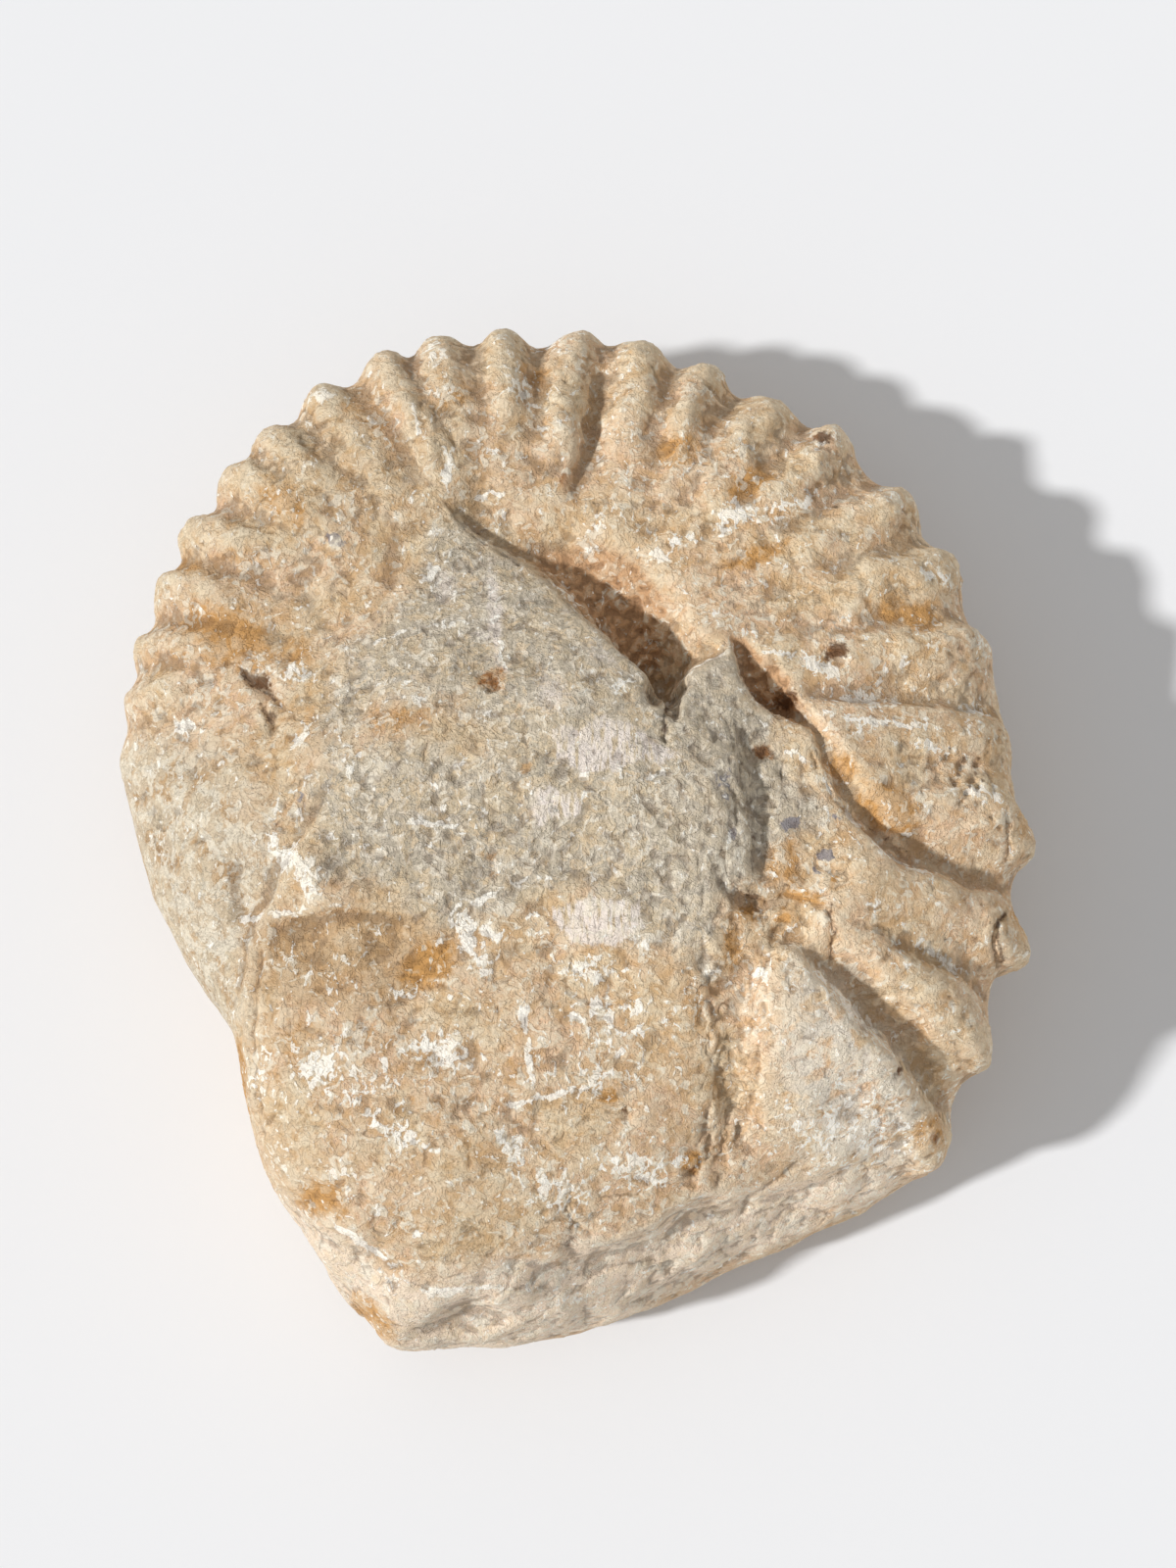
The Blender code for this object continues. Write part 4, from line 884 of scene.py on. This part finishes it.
class StoneWeave(Weave):
    """The nodes of the stone's material, with its tones, its masks and its noises at hand."""

    def __init__(self, tree, colours):
        super().__init__(tree)
        self.tone = {name: (*getattr(colours, name), 1.0) for name in COLOURS}
        self.mask = {}
        for attribute, names in MASKS.items():
            read = self.node("ShaderNodeAttribute", attribute_name=attribute).outputs["Vector"]
            self.mask.update(zip(names, self.node("ShaderNodeSeparateXYZ", {0: read}).outputs))

        # The noises, from the broadest to the finest, on places in millimetres.
        self.spot = self.place(self.node("ShaderNodeTexCoord").outputs["Object"], (1.0 / MM,) * 3)
        self.broad = self.noise(self.spot, 0.09, 4.0)
        self.patchy = self.noise(self.shifted(71.0, 17.0, 9.0), 0.22, 5.0, 0.6)
        self.filmy = self.noise(self.shifted(11.0, 37.0, 53.0), 0.30, 6.0, 0.65, 0.6)
        self.film = self.noise(self.shifted(5.0, 27.0, 13.0), 0.38, 5.0, 0.58, 1.0)
        self.middle = self.noise(self.shifted(31.0, 7.0, 3.0), 0.6, 6.0, 0.62)
        self.skin = self.noise(self.shifted(55.0, 3.0, 23.0), 0.7, 3.5, 0.5, 0.8)
        self.streak = self.noise(self.place(self.spot, (2.4, 0.5, 0.7), 20.0), 0.75, 5.0, 0.62, 0.4)
        self.dots = self.noise(self.shifted(3.0, 8.0, 1.0, scale=(1.0, 0.7, 0.8)), 0.85, 3.0, 0.5, 0.9)
        self.fibre = self.noise(self.place(self.spot, (2.6, 0.65, 1.2), 8.0), 1.0, 4.0, 0.62, 0.3)
        self.small = self.noise(self.shifted(9.0, 2.0, 41.0), 1.7, 5.0, 0.62)
        self.strokes = self.noise(self.place(self.spot, (1.0, 0.14, 1.0), 20.0), 1.7, 3.0)
        self.grain = self.noise(self.spot, 4.5, 3.0, 0.6)

    def shifted(self, *shift, scale=(1.0, 1.0, 1.0)):
        return self.place(self.spot, scale, shift=shift)

    def over(self, colour, name, cover, most=1.0):
        """A colour with one of the stone's tones laid over it, at most this strongly."""
        return self.mix(self.times(cover, most), colour, self.tone[name])


def ground_colour(weave):
    """Tan and dusty pink limestone under thin films, with the areas that are coloured differently."""
    mask, film, filmy, skin = weave.mask, weave.film, weave.filmy, weave.skin
    dusty = weave.sum(weave.broad, (weave.patchy, 0.6), (mask["rib"], -0.10), 0.035)
    colour = weave.over(weave.tone["tan"], "dusty_pink", weave.step(dusty, 0.65, 0.93))
    stained = weave.sum(weave.patchy, (weave.middle, 0.5), (weave.broad, -0.5))
    colour = weave.over(colour, "deep_tan", weave.step(stained, 0.44, 0.60), 0.5)
    colour = weave.over(colour, "stone_grey", weave.step(filmy, 0.46, 0.62), 0.32)
    colour = weave.over(colour, "cream", weave.step(film, 0.52, 0.55), 0.4)
    colour = weave.over(colour, "deep_tan", weave.step(film, 0.45, 0.42), 0.45)
    colour = weave.over(colour, "cream", weave.step(skin, 0.56, 0.64), 0.42)
    colour = weave.over(colour, "deep_tan", weave.step(skin, 0.42, 0.35), 0.35)

    colour = weave.over(colour, "pale_tan", mask["wall"], 0.7)
    brown = weave.step(weave.sum(weave.patchy, (film, 0.5)), 0.75, 0.82)
    colour = weave.over(colour, "ochre_brown", weave.times(mask["wall"], brown), 0.75)
    chalky = weave.step(weave.sum(filmy, (weave.small, 0.3)), 0.65, 0.70)
    colour = weave.over(colour, "chalk", weave.times(mask["wall"], chalky), 0.75)
    colour = weave.over(colour, "ochre_brown", mask["scoop"], 0.6)
    colour = weave.over(colour, "pale_grey", weave.times(mask["lobe"], weave.step(filmy, 0.38, 0.56)))

    colour = weave.over(colour, "broken_pink", mask["broken"], 0.85)
    chalky = weave.step(weave.sum(film, (weave.small, 0.3)), 0.66, 0.72)
    colour = weave.over(colour, "chalk", weave.times(mask["broken"], chalky), 0.7)
    dull = weave.step(weave.sum(skin, (filmy, 0.6)), 0.78, 0.70)
    colour = weave.over(colour, "tan", weave.times(mask["broken"], dull), 0.4)
    colour = weave.over(colour, "furrow_pink", mask["furrow"], 0.2)
    return weave.over(colour, "brown", mask["slope"], 0.9)


def matrix_colour(weave):
    """The grey matrix, bruised and weathered in patches, with a streaked face."""
    grey = weave.step(weave.sum((weave.fibre, 0.7), (weave.middle, 0.3)), 0.42, 0.62)
    grey = weave.over(weave.tone["grey"], "light_grey", grey)
    grey = weave.over(grey, "grey_tan", weave.step(weave.filmy, 0.44, 0.58), 0.85)
    grey = weave.over(grey, "tan", weave.step(weave.film, 0.53, 0.57), 0.6)
    grey = weave.over(grey, "light_grey", weave.step(weave.patchy, 0.54, 0.60), 0.5)
    grey = weave.over(grey, "pale_grey", weave.step(weave.skin, 0.55, 0.59), 0.65)
    grey = weave.over(grey, "dark_grey", weave.step(weave.skin, 0.44, 0.40), 0.5)
    streaked = weave.over(weave.tone["dark_grey"], "light_grey", weave.step(weave.streak, 0.40, 0.62))
    return weave.mix(weave.times(weave.mask["face"], 0.5), grey, streaked)


def stained(weave, colour):
    """A colour with ochre stains, the matrix, and the scraped and slaty patches on the matrix."""
    mask, small, skin = weave.mask, weave.small, weave.skin
    ochre = weave.sum(mask["ochre"], (weave.patchy, 0.9), (weave.middle, 1.0), -0.95)
    colour = weave.over(colour, "ochre", weave.step(ochre, 0.30, 0.75), 0.75)
    matrix = weave.sum(mask["matrix"], (mask["island"], -0.6), (weave.patchy, 1.2), (weave.middle, 0.8), -1.0)
    matrix = weave.times(weave.step(matrix, 0.20, 0.80), 0.92)
    colour = weave.mix(matrix, colour, matrix_colour(weave))
    ochre = weave.sum(mask["ochre"], (skin, 1.0), (small, 0.5), -0.75)
    colour = weave.over(colour, "ochre", weave.step(ochre, 0.50, 0.75), 0.55)

    pale = weave.step(weave.sum(mask["pale"], (small, 0.8), -0.4), 0.3, 0.8)
    colour = weave.over(colour, "pale_pink", pale, 0.7)
    tooled = weave.over(weave.tone["grey_tan"], "pale_pink", weave.step(weave.strokes, 0.36, 0.50))
    scraped = weave.sum(mask["tooled"], (small, 0.9), (skin, 0.8), (weave.strokes, 0.5), -1.1)
    colour = weave.mix(weave.times(weave.step(scraped, 0.30, 0.85), 0.85), colour, tooled)
    slate = weave.step(weave.sum(mask["slate"], (weave.dots, 1.4), -0.7), 0.35, 0.55)
    return weave.over(colour, "slate", slate, 0.85)


def whitened(weave, colour):
    """A colour with cream crests, chalky smears and white calcite, and where the calcite is."""
    mask, dots, small, skin = weave.mask, weave.dots, weave.small, weave.skin
    crest = weave.step(weave.sum(mask["crest"], (weave.filmy, 1.8), (skin, 1.6), -1.7), 0.20, 0.80)
    colour = weave.over(colour, "cream", crest, 0.28)
    haze = weave.sum((mask["white"], 0.50), (weave.middle, 0.6), (weave.film, 1.1), (skin, 1.0), -1.3)
    colour = weave.over(colour, "chalk", weave.step(haze, 0.32, 0.50), 0.6)
    smears = weave.step(weave.sum((skin, 1.0), (weave.patchy, 0.6), (weave.broad, 0.3)), 1.04, 1.09)
    colour = weave.over(colour, "chalk", smears, 0.6)

    flecks = weave.sum((dots, 0.8), (weave.middle, 0.35), (weave.patchy, 0.8), (weave.fibre, 0.2))
    flecks = weave.sum(flecks, (mask["crest"], 0.05), (mask["furrow"], -0.06), (mask["crumbly"], 0.03))
    flecks = weave.step(flecks, 1.27, 1.295)
    white = weave.sum((mask["white"], 0.34), (dots, 1.1), (small, 0.2), (weave.fibre, 0.2), (skin, 0.6))
    white = weave.step(white, 1.24, 1.29)
    vein = weave.step(weave.sum(mask["vein"], (small, 0.9), (skin, 0.8), -0.85), 0.42, 0.60)
    calcite = weave.larger(weave.larger(white, vein), weave.times(flecks, 0.9))
    return weave.over(colour, "white", calcite, 0.8), calcite


def dirtied(weave, colour):
    """A colour with rust, grime and painted shade in the hollows, pits and cracks, and bare pale edges with a
    painted highlight.
    """
    mask, small = weave.mask, weave.small
    rust = weave.step(weave.sum(mask["rust"], (small, 1.4), -0.7), 0.35, 0.8)
    colour = weave.over(colour, "rust", rust, 0.85)
    # Grime and painted shade in the fine hollows, and bare pale edges with a painted highlight on the fine
    # ridges.
    colour = weave.over(colour, "umber", weave.step(mask["fine"], 0.42, 0.0), 0.4)
    colour = weave.over(colour, "cream", weave.step(mask["fine"], 0.60, 1.0), 0.3)
    specks = weave.step(weave.sum((small, 1.0), (weave.patchy, -0.45), (weave.middle, 0.3)), 0.14, 0.10)
    colour = weave.over(colour, "umber", specks, 0.6)
    # Grime and painted shade in the cracks and pits.
    dirt_and_shade = weave.step(weave.sum(mask["crack"], (small, 1.2), -0.6), 0.30, 0.75)
    return weave.over(colour, "umber", dirt_and_shade, 0.80)


def stone_material(colours):
    """Dusty limestone: pinkish tan, with grey matrix, ochre stains, cream crests and white calcite."""
    material = bpy.data.materials.new("weathered limestone")
    material.use_nodes = True
    shader = material.node_tree.nodes["Principled BSDF"]
    weave = StoneWeave(material.node_tree, colours)
    grain, fibre, small = weave.grain, weave.fibre, weave.small

    colour, calcite = whitened(weave, stained(weave, ground_colour(weave)))
    colour = dirtied(weave, colour)
    # The colour is multiplied by random grain and tone, by brighter calcite, and by painted light and shade:
    # paler towards +X, away from the sun, darker towards -X, where it falls.
    along_x = weave.node("ShaderNodeSeparateXYZ", {0: weave.spot}).outputs[0]
    painted_light_across = weave.step(along_x, *PAINTED_LIGHT_FROM_TO)
    tone_and_painted_light = weave.sum((grain, 0.40), (fibre, 0.25), (small, 0.35), (painted_light_across, 0.24), (calcite, 0.12), 0.44)
    weave.join(weave.mix(1.0, colour, tone_and_painted_light, "MULTIPLY"), shader.inputs["Base Color"])
    weave.join(weave.sum((calcite, -0.25), (small, 0.15), 0.82), shader.inputs["Roughness"])
    shader.inputs["Specular IOR Level"].default_value = 0.3

    facets = weave.sum((weave.chips(weave.spot, 0.55), 0.35), (weave.chips(weave.spot, 1.2), 0.35))
    edges = weave.sum((weave.step(weave.skin, 0.48, 0.52), 0.30), (weave.step(weave.film, 0.48, 0.51), 0.30))
    height = weave.sum((small, 0.4), (grain, 0.22), (weave.middle, 0.5), (fibre, 0.30), (calcite, 0.12))
    height = weave.sum(height, facets, edges)
    height = weave.times(height, weave.sum((weave.mask["matrix"], 0.6), (weave.mask["wall"], 0.5), 1.0))
    bump = weave.node("ShaderNodeBump", {"Height": height, "Strength": 0.75, "Distance": BUMP_HEIGHT})
    weave.join(bump.outputs[0], shader.inputs["Normal"])
    return material


def linear(red, green, blue):
    """A colour as Blender keeps it, from the usual 0 to 255."""
    return tuple((value / 255.0) ** 2.2 for value in (red, green, blue))


COLOURS = {
    "tan": ("Tan", "Weathered limestone", linear(226, 199, 161)),
    "deep_tan": ("Deep tan", "Stained limestone", linear(198, 160, 114)),
    "dusty_pink": ("Dusty pink", "Dusty limestone", linear(225, 189, 154)),
    "furrow_pink": ("Furrow pink", "Dust in the furrows", linear(212, 172, 137)),
    "stone_grey": ("Stone grey", "Thin grey film", linear(206, 188, 158)),
    "pale_tan": ("Pale tan", "The smooth outer wall", linear(204, 190, 165)),
    "chalk": ("Chalk", "Chalky haze", linear(234, 224, 204)),
    "cream": ("Cream", "Worn crests", linear(232, 216, 188)),
    "ochre": ("Ochre", "Iron stains", linear(200, 148, 86)),
    "ochre_brown": ("Ochre brown", "The scoop below the matrix", linear(190, 152, 108)),
    "brown": ("Brown", "The crumbly slope in the hollow", linear(200, 157, 117)),
    # Umber is grime, and also painted shade in the fine hollows, the cracks and the pits.
    "umber": ("Umber", "Dirt in cracks and pits", linear(92, 68, 50)),
    "rust": ("Rust", "Rusty cavities", linear(150, 96, 46)),
    "grey": ("Grey", "Matrix", linear(190, 180, 161)),
    "dark_grey": ("Dark grey", "Freshly broken matrix", linear(162, 154, 139)),
    "light_grey": ("Light grey", "Bruised matrix", linear(216, 205, 187)),
    "grey_tan": ("Grey tan", "Weathered matrix", linear(208, 188, 156)),
    "pale_grey": ("Pale grey", "Chalky faces", linear(228, 216, 198)),
    "broken_pink": ("Broken pink", "The broken lower edge", linear(246, 225, 202)),
    "pale_pink": ("Pale pink", "Scraped matrix", linear(246, 234, 224)),
    "slate": ("Slate", "Bluish specks", linear(136, 132, 138)),
    "white": ("White", "Calcite", linear(250, 245, 234)),
}


class AmmoniteSizes(bpy.types.PropertyGroup):
    """Sizes of the stone's finer relief."""

    detail: FloatProperty(
        name="Detail", description="Spacing of the surface's points before it is thinned",
        default=0.00055, min=0.0003, max=0.003, precision=5, subtype="DISTANCE", unit="LENGTH")
    grain: FloatProperty(
        name="Grain", description="Height of the stone's grain",
        default=0.00006, min=0.0, max=0.001, precision=5, subtype="DISTANCE", unit="LENGTH")
    triangles: IntProperty(
        name="Triangles", description="How many triangles are left", default=190000, min=5000, max=199000)


def colour_property(name, description, default):
    return FloatVectorProperty(name=name, description=description, default=default, size=3, min=0.0, max=1.0,
                               subtype="COLOR")


class AmmoniteColours(bpy.types.PropertyGroup):
    """Colours of the stone."""

    __annotations__ = {key: colour_property(*words) for key, words in COLOURS.items()}


class AmmoniteStage(bpy.types.PropertyGroup):
    """The floor, the light and the camera."""

    floor: colour_property("Floor", "Colour of the floor", (0.85, 0.855, 0.87))
    sun: FloatProperty(name="Sun", description="Strength of the light from the left", default=2.7, min=0.0)
    sky: FloatProperty(name="Sky", description="Strength of the light from all round", default=0.45, min=0.0)
    softness: FloatProperty(
        name="Softness", description="How wide the sun looks", default=math.radians(4.0), subtype="ANGLE")
    distance: FloatProperty(
        name="Distance", description="From the camera to the middle of the stone", default=0.430,
        subtype="DISTANCE", unit="LENGTH")
    tilt: FloatProperty(
        name="Tilt", description="How far the camera leans from straight down", default=math.radians(10.0),
        subtype="ANGLE")
    lens: FloatProperty(name="Lens", description="Focal length", default=67.7, subtype="DISTANCE_CAMERA")


class AMMONITE_OT_stone(bpy.types.Operator):
    """Build the fossil with the matrix that adheres to it"""

    bl_idname = "ammonite.stone"
    bl_label = "Build the fossil"

    def execute(self, context):
        mesh = sculpted_mesh(context.scene.ammonite_sizes)
        mesh.name = "ammonite_stone"
        paint_masks(mesh)
        mesh.shade_smooth()
        mesh.materials.clear()
        mesh.materials.append(stone_material(context.scene.ammonite_colours))
        stone = bpy.data.objects.new("ammonite_stone", mesh)
        context.scene.collection.objects.link(stone)
        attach(stone, "root")
        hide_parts("ammonite")
        return {"FINISHED"}


class AMMONITE_OT_stage(bpy.types.Operator):
    """Lay the floor and set up the light and the camera"""

    bl_idname = "ammonite.stage"
    bl_label = "Set the stage"

    def execute(self, context):
        scene, stage = context.scene, context.scene.ammonite_stage
        floor_mesh = bpy.data.meshes.new("floor")
        corners = [(x * FLOOR_HALF, y * FLOOR_HALF, 0.0) for x, y in ((-1, -1), (1, -1), (1, 1), (-1, 1))]
        floor_mesh.from_pydata(corners, [], [(0, 1, 2, 3)])
        plaster = bpy.data.materials.new("pale floor")
        plaster.use_nodes = True
        shader = plaster.node_tree.nodes["Principled BSDF"]
        shader.inputs["Base Color"].default_value = (*stage.floor, 1.0)
        shader.inputs["Roughness"].default_value = 0.9
        shader.inputs["Specular IOR Level"].default_value = 0.1
        floor_mesh.materials.append(plaster)
        floor = bpy.data.objects.new("floor", floor_mesh)
        floor.location.z = LOW[2]
        scene.collection.objects.link(floor)

        lamp = bpy.data.lights.new("sun", "SUN")
        lamp.energy = stage.sun
        lamp.angle = stage.softness
        sun = bpy.data.objects.new("sun", lamp)
        sun.rotation_euler = SUN_FROM.to_track_quat("Z", "Y").to_euler()
        scene.collection.objects.link(sun)

        world = bpy.data.worlds.new("sky")
        world.use_nodes = True
        world.node_tree.nodes["Background"].inputs["Color"].default_value = (1.0, 1.0, 1.0, 1.0)
        world.node_tree.nodes["Background"].inputs["Strength"].default_value = stage.sky
        scene.world = world

        eye = bpy.data.cameras.new("camera")
        eye.lens = stage.lens
        eye.sensor_width = 36.0
        eye.clip_start = 0.01
        camera = bpy.data.objects.new("camera", eye)
        back = Vector((0.0, -math.sin(stage.tilt), math.cos(stage.tilt)))
        camera.location = CAMERA_TARGET + stage.distance * back
        camera.rotation_euler = (stage.tilt, 0.0, 0.0)
        scene.collection.objects.link(camera)
        scene.camera = camera
        scene.view_settings.view_transform = "Standard"
        return {"FINISHED"}


class AMMONITE_PT_panel(bpy.types.Panel):
    """The fossil's settings"""

    bl_label = "Fossil ammonite"
    bl_idname = "AMMONITE_PT_panel"
    bl_space_type = "VIEW_3D"
    bl_region_type = "UI"
    bl_category = "Ammonite"

    def draw(self, context):
        column = self.layout.column()
        for operator in (AMMONITE_OT_stone, AMMONITE_OT_stage):
            column.operator(operator.bl_idname)
        scene = context.scene
        for group in (scene.ammonite_sizes, scene.ammonite_colours, scene.ammonite_stage):
            for name in group.bl_rna.properties.keys():
                if name not in ("name", "rna_type"):
                    column.prop(group, name)


CLASSES = (
    AmmoniteSizes, AmmoniteColours, AmmoniteStage, AMMONITE_OT_stone, AMMONITE_OT_stage, AMMONITE_PT_panel,
)


def register():
    for item in CLASSES:
        bpy.utils.register_class(item)
    bpy.types.Scene.ammonite_sizes = PointerProperty(type=AmmoniteSizes)
    bpy.types.Scene.ammonite_colours = PointerProperty(type=AmmoniteColours)
    bpy.types.Scene.ammonite_stage = PointerProperty(type=AmmoniteStage)


def unregister():
    for name in ("ammonite_sizes", "ammonite_colours", "ammonite_stage"):
        delattr(bpy.types.Scene, name)
    for item in reversed(CLASSES):
        bpy.utils.unregister_class(item)


def main():
    register()
    bpy.ops.ammonite.stone()
    bpy.ops.ammonite.stage()


if __name__ == "__main__":
    main()
